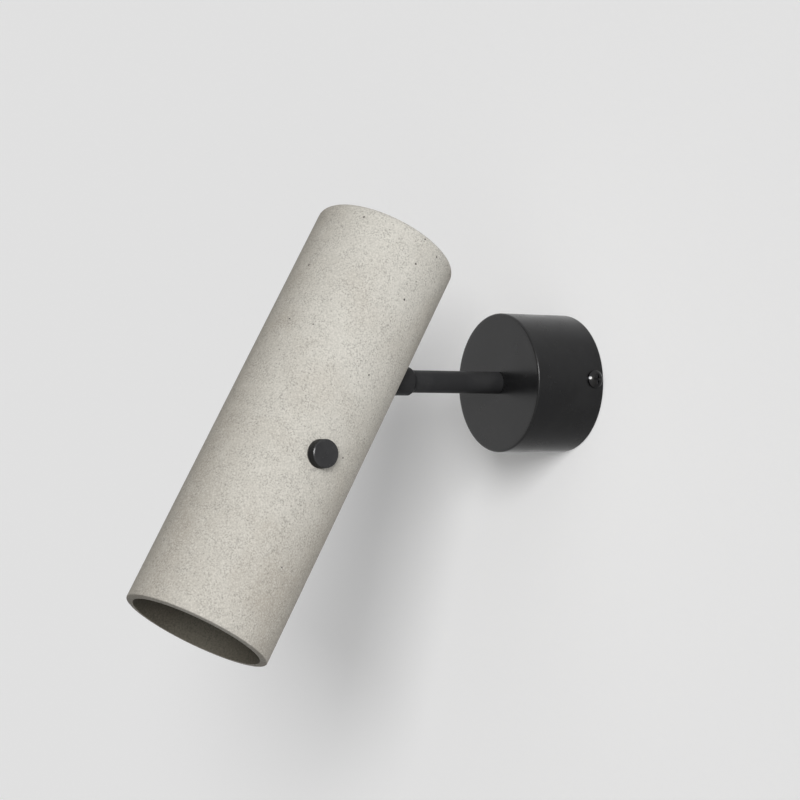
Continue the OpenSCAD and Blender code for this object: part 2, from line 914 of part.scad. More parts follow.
// The slot in the shade's back that the collar moves in
module arm_slot() {
  end_r = arm_slot_w / 2;
  for (z = [arm_slot_end + end_r, arm_slot_top - end_r])
    translate([0, 0, z])
      bar(-pivot_depth - cut, 0, end_r);
  translate([-end_r, 0, arm_slot_end + end_r])
    cube([arm_slot_w, pivot_depth + cut, arm_slot_top - arm_slot_end - 2 * end_r]);
}

module knob_washers() {
  color("#3a3a38")
    in_head()
      for (side = [0, 1])
        mirror([side, 0, 0])
          translate([0, axis_y, knob_z])
            difference() {
              cross_bar(knob_flat_x, knob_seat_x, knob_r);
              cross_bar(0, shade_r + cut, knob_stem_r + seat_gap);
            }
}

// A side knob on +X: its round head, its bevel and its threaded stem
module knob() {
  head_x = knob_seat_x + face_gap;
  top_x = head_x + knob_h;
  color(BLACK)
    translate([0, axis_y, knob_z]) {
      cross_bar(head_x, top_x - knob_bevel, knob_r);
      translate([top_x - knob_bevel, 0, 0])
        rotate([0, 90, 0])
          cylinder(h = knob_bevel, r1 = knob_r, r2 = knob_r - knob_bevel);
      cross_bar(knob_nut_x - screw_end, head_x + knob_h / 2, knob_stem_r);
    }
}

module right_knob() {
  in_head()
    knob();
}

module left_knob() {
  in_head()
    mirror([1, 0, 0])
      knob();
}

backplate();
canopy();
canopy_screws();
cable_grommet();
terminal_block();
terminal_screws();
block_screw();
earth_screw();
earth_washer();
arm_bush();
canopy_lead();
arm_tube();
stop_washer();
spring_washer();
arm_nut();
cord_grip();
grip_screw();
swivel_fork();
arm_lead();
swivel_yoke();
yoke_screws();
friction_washers();
pivot_screws();
lamp_carrier();
knob_nuts();
lampholder();
lampholder_screws();
head_lead();
lamp_body();
lamp_pins();
lamp_lens();
shade();
knob_washers();
right_knob();
left_knob();
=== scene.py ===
"""Wall spotlight: a concrete tube shade that tilts on a short arm, which turns in a round wall canopy.

Every surface is worked out on a grid with numpy, in metres. The row frame has its origin on the wall
at the canopy's centre: +Z is up and -Y points out into the room.
"""

import json
import math

import bmesh
import bpy
import numpy as np
from mathutils import Matrix, Vector


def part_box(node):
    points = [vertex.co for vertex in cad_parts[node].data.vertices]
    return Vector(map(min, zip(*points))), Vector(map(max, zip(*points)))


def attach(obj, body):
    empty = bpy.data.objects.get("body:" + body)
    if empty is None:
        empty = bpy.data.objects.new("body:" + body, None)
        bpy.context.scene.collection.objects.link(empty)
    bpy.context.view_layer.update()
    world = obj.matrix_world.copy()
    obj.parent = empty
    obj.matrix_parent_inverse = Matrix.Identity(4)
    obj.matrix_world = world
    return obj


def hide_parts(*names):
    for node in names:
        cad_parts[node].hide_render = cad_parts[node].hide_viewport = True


bl_info = {
    "name": "Concrete wall spotlight",
    "version": (1, 0, 0),
    "blender": (4, 5, 0),
    "location": "3D View > Sidebar > Spotlight",
    "description": "Builds a wall spotlight with a concrete tube shade on a swivelling arm",
    "category": "Add Mesh",
}

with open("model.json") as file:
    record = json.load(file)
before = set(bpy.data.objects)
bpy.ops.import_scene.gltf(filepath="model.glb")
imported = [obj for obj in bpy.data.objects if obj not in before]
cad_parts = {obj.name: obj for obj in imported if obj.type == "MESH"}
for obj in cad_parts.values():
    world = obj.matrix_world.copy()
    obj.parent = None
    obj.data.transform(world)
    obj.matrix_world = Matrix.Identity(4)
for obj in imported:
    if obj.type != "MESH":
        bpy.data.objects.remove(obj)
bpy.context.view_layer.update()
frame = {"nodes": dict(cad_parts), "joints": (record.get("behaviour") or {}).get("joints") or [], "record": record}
MM = 0.001

JOINT_AT = {joint["name"]: Vector(joint["pos_m"]) for joint in frame["joints"]}
PIVOT = JOINT_AT["head_tilt"]
KNOB_AXIS = JOINT_AT["right_knob_turn"]
CANOPY_LOW, CANOPY_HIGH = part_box("canopy")
ARM_LOW, ARM_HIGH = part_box("arm_tube")
SHADE_LOW, SHADE_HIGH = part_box("shade")
KNOB_LOW, KNOB_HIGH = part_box("right_knob")
CANOPY_LEAD_LOW, CANOPY_LEAD_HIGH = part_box("canopy_lead")
LAMP_LOW, LAMP_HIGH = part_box("lamp_body")

CANOPY_RADIUS = (CANOPY_HIGH[0] - CANOPY_LOW[0]) / 2
ARM_RADIUS = (ARM_HIGH[0] - ARM_LOW[0]) / 2
SHADE_RADIUS = (SHADE_HIGH[0] - SHADE_LOW[0]) / 2
KNOB_RADIUS = (KNOB_HIGH[1] - KNOB_LOW[1]) / 2
LAMP_RADIUS = (LAMP_HIGH[0] - LAMP_LOW[0]) / 2


class SpotlightSizes(bpy.types.PropertyGroup):
    """Sizes of the pieces"""

    head_tilt: bpy.props.FloatProperty(
        name="Head tilt", description="Tilt of the shade away from the wall, from straight down",
        default=math.radians(30.5), subtype="ANGLE")
    shade_length: bpy.props.FloatProperty(
        name="Shade length", description="Length of the concrete tube", default=192 * MM, unit="LENGTH")
    shade_wall: bpy.props.FloatProperty(
        name="Shade wall", description="Thickness of the concrete wall", default=3.2 * MM, unit="LENGTH")
    shade_top: bpy.props.FloatProperty(
        name="Shade top", description="Thickness of the closed top", default=4 * MM, unit="LENGTH")
    top_rounding: bpy.props.FloatProperty(
        name="Top rounding", description="Radius of the shade's top edge", default=3 * MM, unit="LENGTH")
    mouth_rounding: bpy.props.FloatProperty(
        name="Mouth rounding", description="Radius of the mouth's outer edge", default=0.5 * MM,
        unit="LENGTH")
    mouth_slope: bpy.props.FloatProperty(
        name="Mouth slope", description="Angle at which the rim falls back towards its outer edge",
        default=math.radians(10), subtype="ANGLE")
    pivot_from_top: bpy.props.FloatProperty(
        name="Pivot from top", description="Distance from the closed top to the tilt pivot",
        default=57.5 * MM, unit="LENGTH")
    pivot_depth: bpy.props.FloatProperty(
        name="Pivot depth", description="Depth of the tilt pivot below the shade's surface",
        default=10 * MM, unit="LENGTH")
    knob_from_top: bpy.props.FloatProperty(
        name="Knob from top", description="Distance from the closed top to the knobs' axis",
        default=108.5 * MM, unit="LENGTH")
    slot_width: bpy.props.FloatProperty(
        name="Slot width", description="Width of the slot in the shade's back", default=13.8 * MM,
        unit="LENGTH")
    slot_low: bpy.props.FloatProperty(
        name="Slot bottom", description="Lower end of the slot, from the tilt pivot", default=-13.85 * MM,
        unit="LENGTH")
    slot_high: bpy.props.FloatProperty(
        name="Slot top", description="Upper end of the slot, from the tilt pivot", default=19.71 * MM,
        unit="LENGTH")
    canopy_wall: bpy.props.FloatProperty(
        name="Canopy wall", description="Thickness of the canopy's side", default=1.2 * MM, unit="LENGTH")
    canopy_face: bpy.props.FloatProperty(
        name="Canopy face", description="Thickness of the canopy's front", default=1.5 * MM, unit="LENGTH")
    canopy_rounding: bpy.props.FloatProperty(
        name="Canopy rounding", description="Radius of the canopy's front edge", default=0.9 * MM,
        unit="LENGTH")
    stud_diameter: bpy.props.FloatProperty(
        name="Stud diameter", description="Thread diameter of the arm's stud", default=8 * MM,
        unit="LENGTH")
    arm_bore: bpy.props.FloatProperty(
        name="Arm bore", description="Bore of the arm for the lead", default=5.2 * MM, unit="LENGTH")
    knob_stem: bpy.props.FloatProperty(
        name="Knob stem", description="Thread diameter of a knob's stem", default=5 * MM, unit="LENGTH")
    knob_height: bpy.props.FloatProperty(
        name="Knob height", description="Height of a knob's head", default=4.6 * MM, unit="LENGTH")
    lead_diameter: bpy.props.FloatProperty(
        name="Lead diameter", description="Diameter of the white lead", default=4.4 * MM, unit="LENGTH")


class SpotlightFinishes(bpy.types.PropertyGroup):
    """Colours of the finishes"""

    concrete: bpy.props.FloatVectorProperty(
        name="Concrete", description="Colour of the cast concrete", default=(0.5, 0.485, 0.443),
        size=3, min=0, max=1, subtype="COLOR")
    # The darker patches' colour serves both real stains and the painted shade along the tube's sides and towards
    # the mouth.
    concrete_stain: bpy.props.FloatVectorProperty(
        name="Concrete stain", description="Colour of the darker patches in the concrete",
        default=(0.39, 0.362, 0.316), size=3, min=0, max=1, subtype="COLOR")
    # Painted shade: how much the concrete is darkened inside the tube and on its rim.
    concrete_raw: bpy.props.FloatVectorProperty(
        name="Raw concrete", description="Darkening of the raw concrete inside the tube and on its rim",
        default=(0.22, 0.21, 0.185), size=3, min=0, max=1, subtype="COLOR")
    coat: bpy.props.FloatVectorProperty(
        name="Black coat", description="Colour of the satin black powder coat",
        default=(0.009, 0.009, 0.0094), size=3, min=0, max=1, subtype="COLOR")
    coat_worn: bpy.props.FloatVectorProperty(
        name="Rubbed coat", description="Colour of the coat where hands have polished it",
        default=(0.013, 0.013, 0.0134), size=3, min=0, max=1, subtype="COLOR")


class SpotlightStage(bpy.types.PropertyGroup):
    """Lights, backdrop and camera"""

    wall_colour: bpy.props.FloatVectorProperty(
        name="Wall colour", description="Colour of the painted wall", default=(0.95, 0.95, 0.95),
        size=3, min=0, max=1, subtype="COLOR")
    wall_paleness: bpy.props.FloatProperty(
        name="Wall paleness", description="Share of plain white in the wall's colour in view",
        default=0.2, min=0, max=1, subtype="FACTOR")
    key_strength: bpy.props.FloatProperty(
        name="Key light", description="Strength of the soft light above the camera", default=2.6)
    fill_strength: bpy.props.FloatProperty(
        name="Fill light", description="Strength of the wide light from the camera's side", default=0.7)
    rear_strength: bpy.props.FloatProperty(
        name="Rear light", description="Strength of the light on the back, which doesn't reach the front",
        default=1.6)
    backdrop_strength: bpy.props.FloatProperty(
        name="Backdrop", description="Brightness of the surroundings in view and in reflections",
        default=0.95)
    lens: bpy.props.FloatProperty(
        name="Lens", description="Focal length of the camera in millimetres", default=94.8,
        unit="CAMERA")


def placed(points, matrix):
    """Points moved by a 4 by 4 matrix: p becomes M p."""
    m = np.array(matrix)
    return points @ m[:3, :3].T + m[:3, 3]


def out_of_wall():
    """Turns a shape's +Z axis to point out of the wall, along -Y."""
    return Matrix.Rotation(math.radians(90), 4, "X")


def across():
    """Turns a shape's +Z axis to point along +X."""
    return Matrix.Rotation(math.radians(90), 4, "Y")


def in_head(sizes):
    """The head's frame: its origin is the tilt pivot, and the shade's mouth points to its -Z."""
    return Matrix.Translation(PIVOT) @ Matrix.Rotation(-sizes.head_tilt, 4, "X")


def in_shade(sizes):
    """The shade's frame: its axis is Z, and its origin is the middle of the mouth."""
    offset = (0, sizes.pivot_depth - SHADE_RADIUS, sizes.pivot_from_top - sizes.shade_length)
    return in_head(sizes) @ Matrix.Translation(offset)


def rounded(corners, steps=8):
    """An outline through corners of (radius, height) or (radius, height, rounding).

    A rounding replaces its corner by an arc that touches both sides: with half the corner's angle h,
    the arc's centre lies rounding / sin h from the corner, on the line that halves the angle.
    """
    points = [np.array(corner[:2], float) for corner in corners]
    outline = []
    for n, corner in enumerate(corners):
        if len(corner) < 3:
            outline.append(points[n])
            continue
        before = points[n - 1] - points[n]
        after = points[(n + 1) % len(points)] - points[n]
        before /= np.linalg.norm(before)
        after /= np.linalg.norm(after)
        half = math.acos(np.clip(before @ after, -1, 1)) / 2
        middle = (before + after) / np.linalg.norm(before + after)
        centre = points[n] + middle * corner[2] / math.sin(half)
        start = points[n] + before * corner[2] / math.tan(half) - centre
        end = points[n] + after * corner[2] / math.tan(half) - centre
        whole = math.acos(np.clip(start @ end / corner[2] ** 2, -1, 1))
        share = np.linspace(0, 1, steps + 1)[:, None]
        arc = (np.sin((1 - share) * whole) * start + np.sin(share * whole) * end) / math.sin(whole)
        outline.extend(centre + arc)
    return np.array(outline)


def divided(outline, step):
    """The same outline, with each side cut into equal lengths of at most step."""
    pieces = []
    for start, end in zip(outline[:-1], outline[1:]):
        count = max(1, math.ceil(np.linalg.norm(end - start) / step))
        pieces.append(start + (end - start) * np.arange(count)[:, None] / count)
    return np.concatenate([*pieces, outline[-1:]])


def turned(outline, columns):
    """A surface of revolution about Z: (r, h) at angle a becomes (r sin a, r cos a, h)."""
    angle = 2 * math.pi * np.arange(columns) / columns
    radius, height = np.asarray(outline).T
    return np.stack([np.outer(radius, np.sin(angle)), np.outer(radius, np.cos(angle)),
                     np.outer(height, np.ones(columns))], axis=-1)


def bell(angle, centre, width):
    """A bell curve round a circle: exp(-(a - a0)^2 / w^2), with a - a0 measured the shorter way."""
    apart = np.mod(angle - centre + math.pi, 2 * math.pi) - math.pi
    return np.exp(-(apart / width) ** 2)


def quads(rows, columns, keep=None):
    """Faces between neighbouring rows of a grid whose columns close into a ring."""
    row, column = np.meshgrid(np.arange(rows - 1), np.arange(columns), indexing="ij")
    after = (column + 1) % columns
    faces = np.stack([row * columns + column, row * columns + after,
                      (row + 1) * columns + after, (row + 1) * columns + column], axis=-1)
    return faces[keep] if keep is not None else faces.reshape(-1, 4)


def ringed(points, closed=False, keep=None):
    """A grid of points as a surface; closed joins its last row to its first."""
    if closed:
        points = np.concatenate([points, points[:1]])
    rows, columns = points.shape[:2]
    faces = quads(rows, columns, keep)
    used, faces = np.unique(faces, return_inverse=True)
    return points.reshape(-1, 3)[used], faces.reshape(-1, 4)


def threaded(points, radius, low, high, pitch, depth):
    """Cuts a thread into rows of radius r between two heights: r becomes r - depth |2 f - 1| w.

    f is the fraction of height / pitch minus the turn, and w fades in over one pitch at each end.
    """
    slack, least_radius = 0.01 * MM, 0.1 * MM
    x, y, height = np.moveaxis(points, -1, 0)
    around = np.hypot(x, y)
    turn = np.arctan2(x, y) / (2 * math.pi)
    fraction = np.mod(height / pitch - turn, 1)
    fade = np.clip((height - low) / pitch, 0, 1) * np.clip((high - height) / pitch, 0, 1)
    on_rod = np.abs(around - radius) < slack
    cut = np.where(on_rod, depth * np.abs(2 * fraction - 1) * fade, 0)
    share = 1 - cut / np.maximum(around, least_radius)
    return np.stack([x * share, y * share, height], axis=-1)


def on_wall(radius, arc, level, centre):
    """A point on a tube's wall: arc is measured round the wall from the centre angle."""
    turn = centre + arc / radius
    return np.stack([radius * np.sin(turn), radius * np.cos(turn), level], axis=-1)


def sighted(aside, level, out, centre):
    """A point seen along a hole's axis: aside from it, and out from the tube's axis."""
    return np.stack([out * math.sin(centre) + aside * math.cos(centre),
                     out * math.cos(centre) - aside * math.sin(centre), level], axis=-1)


class Hole:
    """A round or long hole straight through a tube's wall.

    Its outline keeps a fixed distance, radius, from a core line along the tube, between two levels.
    Its edges are rounded by edge. A seat is a flat round it: its radius, and how far out it lies.
    """

    def __init__(self, centre, low, high, radius, margin, edge, seat=None):
        self.centre, self.low, self.high, self.radius = centre, low, high, radius
        self.margin, self.edge, self.seat = margin, edge, seat

    def block(self, outer, levels, columns):
        """The rows and columns of the wall's grid that the hole's patch replaces."""
        reach = (self.seat[0] if self.seat else self.radius) + self.margin
        half = math.ceil(reach / (2 * math.pi * outer / columns))
        first = np.searchsorted(levels, self.low - reach) - 1
        last = np.searchsorted(levels, self.high + reach)
        return first, last, half

    def patch(self, outer, inner, levels, columns):
        """Rings from the block's edge on the outer wall, through the hole, to its edge on the inner.

        A ring at share t on a wall is (1 - t) outline + t block edge, worked out on the unrolled wall.
        A ring at bend b on an edge keeps radius + e (1 - sin b), at e (1 - cos b) under the wall.
        """
        first, last, half = self.block(outer, levels, columns)
        step = 2 * math.pi / columns
        across = np.arange(-half, half)
        along = np.arange(first, last)
        turn = step * np.concatenate([across, np.full(len(along), half), -across,
                                      np.full(len(along), -half)])
        level = levels[np.concatenate([np.full(len(across), first), along, np.full(len(across), last),
                                       along[::-1] + 1])]
        core = np.clip(level, self.low, self.high)
        away = np.stack([outer * turn, level - core])
        away /= np.linalg.norm(away, axis=0)

        def wall_ring(radius, reach, share):
            arc = radius * np.arcsin(away[0] * reach / radius)
            return on_wall(radius, (1 - share) * arc + share * radius * turn,
                           (1 - share) * (core + away[1] * reach) + share * level, self.centre)

        def cut_ring(reach, out):
            return sighted(away[0] * reach, core + away[1] * reach, out, self.centre)

        def surface(radius, reach):
            return np.sqrt(radius ** 2 - (away[0] * reach) ** 2)

        shares = np.array([1, 0.75, 0.52, 0.33, 0.17, 0.06, 0])
        bend = np.radians(np.arange(15, 91, 15))
        rounding = [(self.radius + self.edge * (1 - math.sin(b)), self.edge * (1 - math.cos(b)))
                    for b in bend]
        if self.seat:
            seat_radius, seat_out = self.seat
            seat_rings = 8
            rings = [wall_ring(outer, seat_radius, share) for share in shares]
            rings += [cut_ring(reach, np.full_like(turn, seat_out))
                      for reach in np.linspace(seat_radius, self.radius + self.edge, seat_rings)]
            rings += [cut_ring(reach, np.full_like(turn, seat_out - drop)) for reach, drop in rounding]
        else:
            rings = [wall_ring(outer, self.radius + self.edge, share) for share in shares]
            rings += [cut_ring(reach, surface(outer, reach) - drop) for reach, drop in rounding]
        rings += [cut_ring(reach, surface(inner, reach) + drop) for reach, drop in rounding[::-1]]
        rings += [wall_ring(inner, self.radius + self.edge, share) for share in shares[::-1]]
        return ringed(np.array(rings))


def holed_wall(outer, inner, levels, inner_end, holes, columns):
    """The outer and inner faces of a tube, cut open where its holes are, with a patch in each."""
    least_step = 0.3 * MM
    inner_levels = np.append(levels[levels < inner_end - least_step], inner_end)
    surfaces = []
    for radius, rows in ((outer, levels), (inner, inner_levels)):
        keep = np.ones((len(rows) - 1, columns), bool)
        for hole in holes:
            first, last, half = hole.block(outer, levels, columns)
            middle = round(hole.centre / (2 * math.pi / columns))
            keep[first:last, (middle + np.arange(-half, half)) % columns] = False
        grid = turned(np.stack([np.full(len(rows), radius), rows], axis=-1), columns)
        surfaces.append(ringed(grid, keep=keep))
    return surfaces + [hole.patch(outer, inner, levels, columns) for hole in holes]


def swept(path, radius, sides=24):
    """A tube along a path in the YZ plane: a ring at each point, square to the path.

    A ring's point at angle a is c + r (X cos a + N sin a), with N the path's normal.
    """
    tangent = np.gradient(path, axis=0)
    tangent /= np.linalg.norm(tangent, axis=1)[:, None]
    angle = 2 * math.pi * np.arange(sides) / sides
    up = np.outer(radius, np.sin(angle))
    return np.stack([np.outer(radius, np.cos(angle)), path[:, :1] - up * tangent[:, 1:],
                     path[:, 1:] + up * tangent[:, :1]], axis=-1)


def made_piece(name, surfaces, matrix, material, body, slot, *nodes, sharp=32):
    """Joins surfaces into one closed mesh that rides on a body and stands for CAD nodes."""
    same_place, too_short = 0.002 * MM, 0.001 * MM
    starts = np.cumsum([0] + [len(points) for points, _ in surfaces])
    points = placed(np.concatenate([points for points, _ in surfaces]), matrix)
    faces = np.concatenate([faces + start for (_, faces), start in zip(surfaces, starts)])
    mesh = bpy.data.meshes.new(name)
    mesh.from_pydata(points, [], faces.tolist())
    welded = bmesh.new()
    welded.from_mesh(mesh)
    bmesh.ops.remove_doubles(welded, verts=welded.verts, dist=same_place)
    bmesh.ops.dissolve_degenerate(welded, edges=welded.edges, dist=too_short)
    bmesh.ops.recalc_face_normals(welded, faces=welded.faces)
    welded.to_mesh(mesh)
    welded.free()
    mesh.polygons.foreach_set("use_smooth", np.ones(len(mesh.polygons), bool))
    mesh.set_sharp_from_angle(angle=math.radians(sharp))
    mesh.materials.append(material)
    piece = bpy.data.objects.new(name, mesh)
    bpy.context.scene.collection.objects.link(piece)
    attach(piece, body)
    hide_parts(*nodes)
    return piece


def new_material(name):
    """An empty material: its node tree, its Principled shader, and its Object coordinates."""
    material = bpy.data.materials.new(name)
    material.use_nodes = True
    tree = material.node_tree
    shader = tree.nodes["Principled BSDF"]
    place = tree.nodes.new("ShaderNodeTexCoord").outputs["Object"]
    return material, tree, shader, place


def add_node(tree, kind, inputs=(), **settings):
    """Adds a node, sets its settings, and gives each named input a value or a link."""
    made = tree.nodes.new(kind)
    for name, value in settings.items():
        setattr(made, name, value)
    for name, value in dict(inputs).items():
        if isinstance(value, bpy.types.NodeSocket):
            tree.links.new(value, made.inputs[name])
        else:
            made.inputs[name].default_value = value
    return made


# Nearly all of a noise's values lie between these.
NOISE_RANGE = (0.3, 0.7)


def noise(tree, place, size, detail=3.0, roughness=0.5, distortion=0.0):
    """Noise whose features are about size metres across, from 0 to 1."""
    return add_node(tree, "ShaderNodeTexNoise",
                    {"Vector": place, "Scale": 1 / size, "Detail": detail, "Roughness": roughness,
                     "Distortion": distortion}).outputs["Fac"]


def cells(tree, place, size):
    """Cells about size metres apart: how far their middles are, and the random colour of each."""
    made = add_node(tree, "ShaderNodeTexVoronoi", {"Vector": place, "Scale": 1 / size})
    return made.outputs["Distance"], made.outputs["Color"]


def stepped(tree, value, between, to=(0.0, 1.0)):
    """Takes value from one range into another, smoothly, and holds it there."""
    return add_node(tree, "ShaderNodeMapRange",
                    {"Value": value, "From Min": between[0], "From Max": between[1],
                     "To Min": to[0], "To Max": to[1]},
                    interpolation_type="SMOOTHSTEP").outputs["Result"]


def mixed(tree, share, first, second, blend="MIX"):
    """Mixes two colours; share, first and second are values or sockets."""
    made = tree.nodes.new("ShaderNodeMix")
    made.data_type = "RGBA"
    made.blend_type = blend
    for socket, value in ((made.inputs[0], share), (made.inputs[6], first), (made.inputs[7], second)):
        if isinstance(value, bpy.types.NodeSocket):
            tree.links.new(value, socket)
        else:
            socket.default_value = value if socket == made.inputs[0] else (*value, 1)
    return made.outputs[2]


def calculated(tree, operation, first, second):
    """One sum or comparison of two values or sockets."""
    made = add_node(tree, "ShaderNodeMath", operation=operation)
    for socket, value in zip(made.inputs, (first, second)):
        if isinstance(value, bpy.types.NodeSocket):
            tree.links.new(value, socket)
        else:
            socket.default_value = value
    return made.outputs[0]


def bumped(tree, height, depth, normal=None):
    """A normal from a height of 0 to 1 that is depth metres high."""
    inputs = {"Height": height, "Distance": depth, "Strength": 1.0}
    if normal:
        inputs["Normal"] = normal
    return add_node(tree, "ShaderNodeBump", inputs).outputs["Normal"]


def finish_material(name, colour, drift, patch, roughness, grain, depth, **values):
    """A finish whose colour and gloss drift in patches, with a fine grain in its height.

    roughness is its lowest and highest value, grain the size of the height's features, and depth
    how high they stand. Other values are the shader's own, the same all over.
    """
    material, tree, shader, place = new_material(name)
    patches = noise(tree, place, patch, detail=4)
    tree.links.new(mixed(tree, stepped(tree, patches, (0.35, 0.65)), colour, drift),
                   shader.inputs["Base Color"])
    smudges = noise(tree, place, patch / 3, detail=5, roughness=0.6)
    tree.links.new(stepped(tree, smudges, NOISE_RANGE, roughness), shader.inputs["Roughness"])
    tree.links.new(bumped(tree, noise(tree, place, grain, detail=2), depth), shader.inputs["Normal"])
    for socket, value in values.items():
        shader.inputs[socket.replace("_", " ")].default_value = value
    return material


def concrete(name, finishes):
    """Fair-faced cast concrete: warm patches, cloudy mottling, fine sand, dark grit and pinholes.

    It reads two attributes of painted shade: the outer one adds to the darker patches' share, along the
    tube's sides and towards the mouth, and the inner one darkens the inside of the tube and the rim.
    The pinholes are painted darker as well: painted shade in the pits.
    """
    stain_size, cloud_size, bare_size = 34 * MM, 7 * MM, 5 * MM
    sand_size, grit_spacing, pore_spacing = 0.72 * MM, 1.9 * MM, 6.2 * MM
    sand_height, cloud_height, pore_depth = 0.024 * MM, 0.12 * MM, 0.5 * MM
    grit_rarity = 0.72

    def tone(share):
        """The concrete's colour, darker or lighter."""
        return tuple(min(1.0, share * c) for c in finishes.concrete)

    pale, light_sand, dark_sand, pit_floor = tone(1.1), tone(1.2), tone(0.42), tone(0.22)

    material, tree, shader, place = new_material(name)
    stain = noise(tree, place, stain_size, detail=5, roughness=0.55, distortion=0.6)
    cloud = noise(tree, place, cloud_size, detail=4, roughness=0.6)
    # Painted shade: the outer shading adds to the stains' share, darker along two sides of the tube and towards
    # the mouth.
    weathered = add_node(tree, "ShaderNodeAttribute", attribute_name="weathered").outputs["Fac"]
    stained = calculated(tree, "ADD", stepped(tree, stain, (0.44, 0.72), (0, 0.42)), weathered)
    colour = mixed(tree, stained, tone(1), tuple(finishes.concrete_stain))
    colour = mixed(tree, stepped(tree, cloud, (0.45, 0.75), (0, 0.28)), colour, pale)

    sand = noise(tree, place, sand_size, detail=2)
    bared = stepped(tree, noise(tree, place, bare_size, detail=2), (0.35, 0.65), (0.28, 0.62))
    sanded = calculated(tree, "MULTIPLY", bared, stepped(tree, sand, (0.3, 0.56), (1, 0)))
    colour = mixed(tree, sanded, colour, dark_sand)
    colour = mixed(tree, stepped(tree, sand, (0.52, 0.75), (0, 0.5)), colour, light_sand)

    grit_distance, grit_colour = cells(tree, place, grit_spacing)
    grit_kind = add_node(tree, "ShaderNodeSeparateColor", {"Color": grit_colour}).outputs["Red"]
    is_grit = calculated(tree, "GREATER_THAN", grit_kind, grit_rarity)
    grit_spot = stepped(tree, grit_distance, (0.12, 0.24), (0.55, 0))
    colour = mixed(tree, calculated(tree, "MULTIPLY", is_grit, grit_spot), colour, dark_sand)

    pore_distance, pore_colour = cells(tree, place, pore_spacing)
    pore_kind = add_node(tree, "ShaderNodeSeparateColor", {"Color": pore_colour}).outputs["Green"]
    pore_size = stepped(tree, pore_kind, (0.15, 1), (0.01, 0.075))
    pore_edge = calculated(tree, "SUBTRACT", pore_distance, pore_size)
    pit = stepped(tree, pore_edge, (-0.03, 0.012), (1, 0))
    # The pinholes' colour is darkened: painted shade in the pits, beside their bump.
    colour = mixed(tree, pit, colour, pit_floor)
    # Painted shade darkens the inside of the tube and the rim's face.
    raw = add_node(tree, "ShaderNodeAttribute", attribute_name="raw").outputs["Fac"]
    colour = mixed(tree, raw, colour, tuple(finishes.concrete_raw), blend="MULTIPLY")
    tree.links.new(colour, shader.inputs["Base Color"])

    tree.links.new(stepped(tree, cloud, NOISE_RANGE, (0.82, 0.95)), shader.inputs["Roughness"])
    shader.inputs["Specular IOR Level"].default_value = 0.3
    grain = bumped(tree, sand, sand_height)
    ripple = bumped(tree, cloud, cloud_height, grain)
    solid = calculated(tree, "SUBTRACT", 1.0, pit)
    tree.links.new(bumped(tree, solid, pore_depth, ripple), shader.inputs["Normal"])
    return material


def powder_coat(name, finishes, roughness, lift=1.0, specular=0.3):
    """Satin black powder coat: a fine orange peel, a little dust, and areas that hands have polished.

    roughness is its lowest and highest value, and lift multiplies the coat's colours.
    """
    rubbed_size, gloss_size, dust_spacing = 24 * MM, 9 * MM, 2.6 * MM
    peel_size, peel_height = 0.6 * MM, 0.022 * MM
    fine_size, fine_height = 0.14 * MM, 0.006 * MM
    dust_colour = (0.09, 0.088, 0.084)

    material, tree, shader, place = new_material(name)
    rubbed = noise(tree, place, rubbed_size, detail=4, roughness=0.6)
    colour = mixed(tree, stepped(tree, rubbed, (0.42, 0.68)), tuple(lift * c for c in finishes.coat),
                   tuple(lift * c for c in finishes.coat_worn))
    fleck = stepped(tree, cells(tree, place, dust_spacing)[0], (0.03, 0.07), (0.5, 0))
    tree.links.new(mixed(tree, fleck, colour, dust_colour), shader.inputs["Base Color"])
    cloudy = noise(tree, place, gloss_size)
    tree.links.new(stepped(tree, cloudy, NOISE_RANGE, roughness), shader.inputs["Roughness"])
    shader.inputs["Specular IOR Level"].default_value = specular
    peel = bumped(tree, noise(tree, place, peel_size, detail=2), peel_height)
    fine = noise(tree, place, fine_size, detail=1)
    tree.links.new(bumped(tree, fine, fine_height, peel), shader.inputs["Normal"])
    return material


def lamp_glass(name):
    """Frosted lamp front: clear enough to glow, with a fine etched grain."""
    etching_size, etching_height = 0.35 * MM, 0.02 * MM
    smooth, frosted = (0.9, 0.9, 0.87), (0.8, 0.8, 0.77)
    material, tree, shader, place = new_material(name)
    etched = noise(tree, place, etching_size, detail=2)
    tree.links.new(mixed(tree, stepped(tree, etched, NOISE_RANGE), smooth, frosted),
                   shader.inputs["Base Color"])
    tree.links.new(stepped(tree, etched, NOISE_RANGE, (0.28, 0.4)), shader.inputs["Roughness"])
    tree.links.new(bumped(tree, etched, etching_height), shader.inputs["Normal"])
    shader.inputs["Transmission Weight"].default_value = 0.55
    shader.inputs["IOR"].default_value = 1.49
    return material


# Black coats: lowest and highest roughness, brightness against the canopy's coat, specular level.
COATS = {
    "black_powder_coat": dict(roughness=(0.2, 0.28)),
    "arm_coat": dict(roughness=(0.42, 0.52), lift=2.3, specular=0.12),
    "knob_black": dict(roughness=(0.22, 0.3), lift=2.6),
    # The side of a knob's head: a darker and rougher copy of the knob's coat.
    "knob_grip": dict(roughness=(0.5, 0.62), lift=0.9, specular=0.12),
}

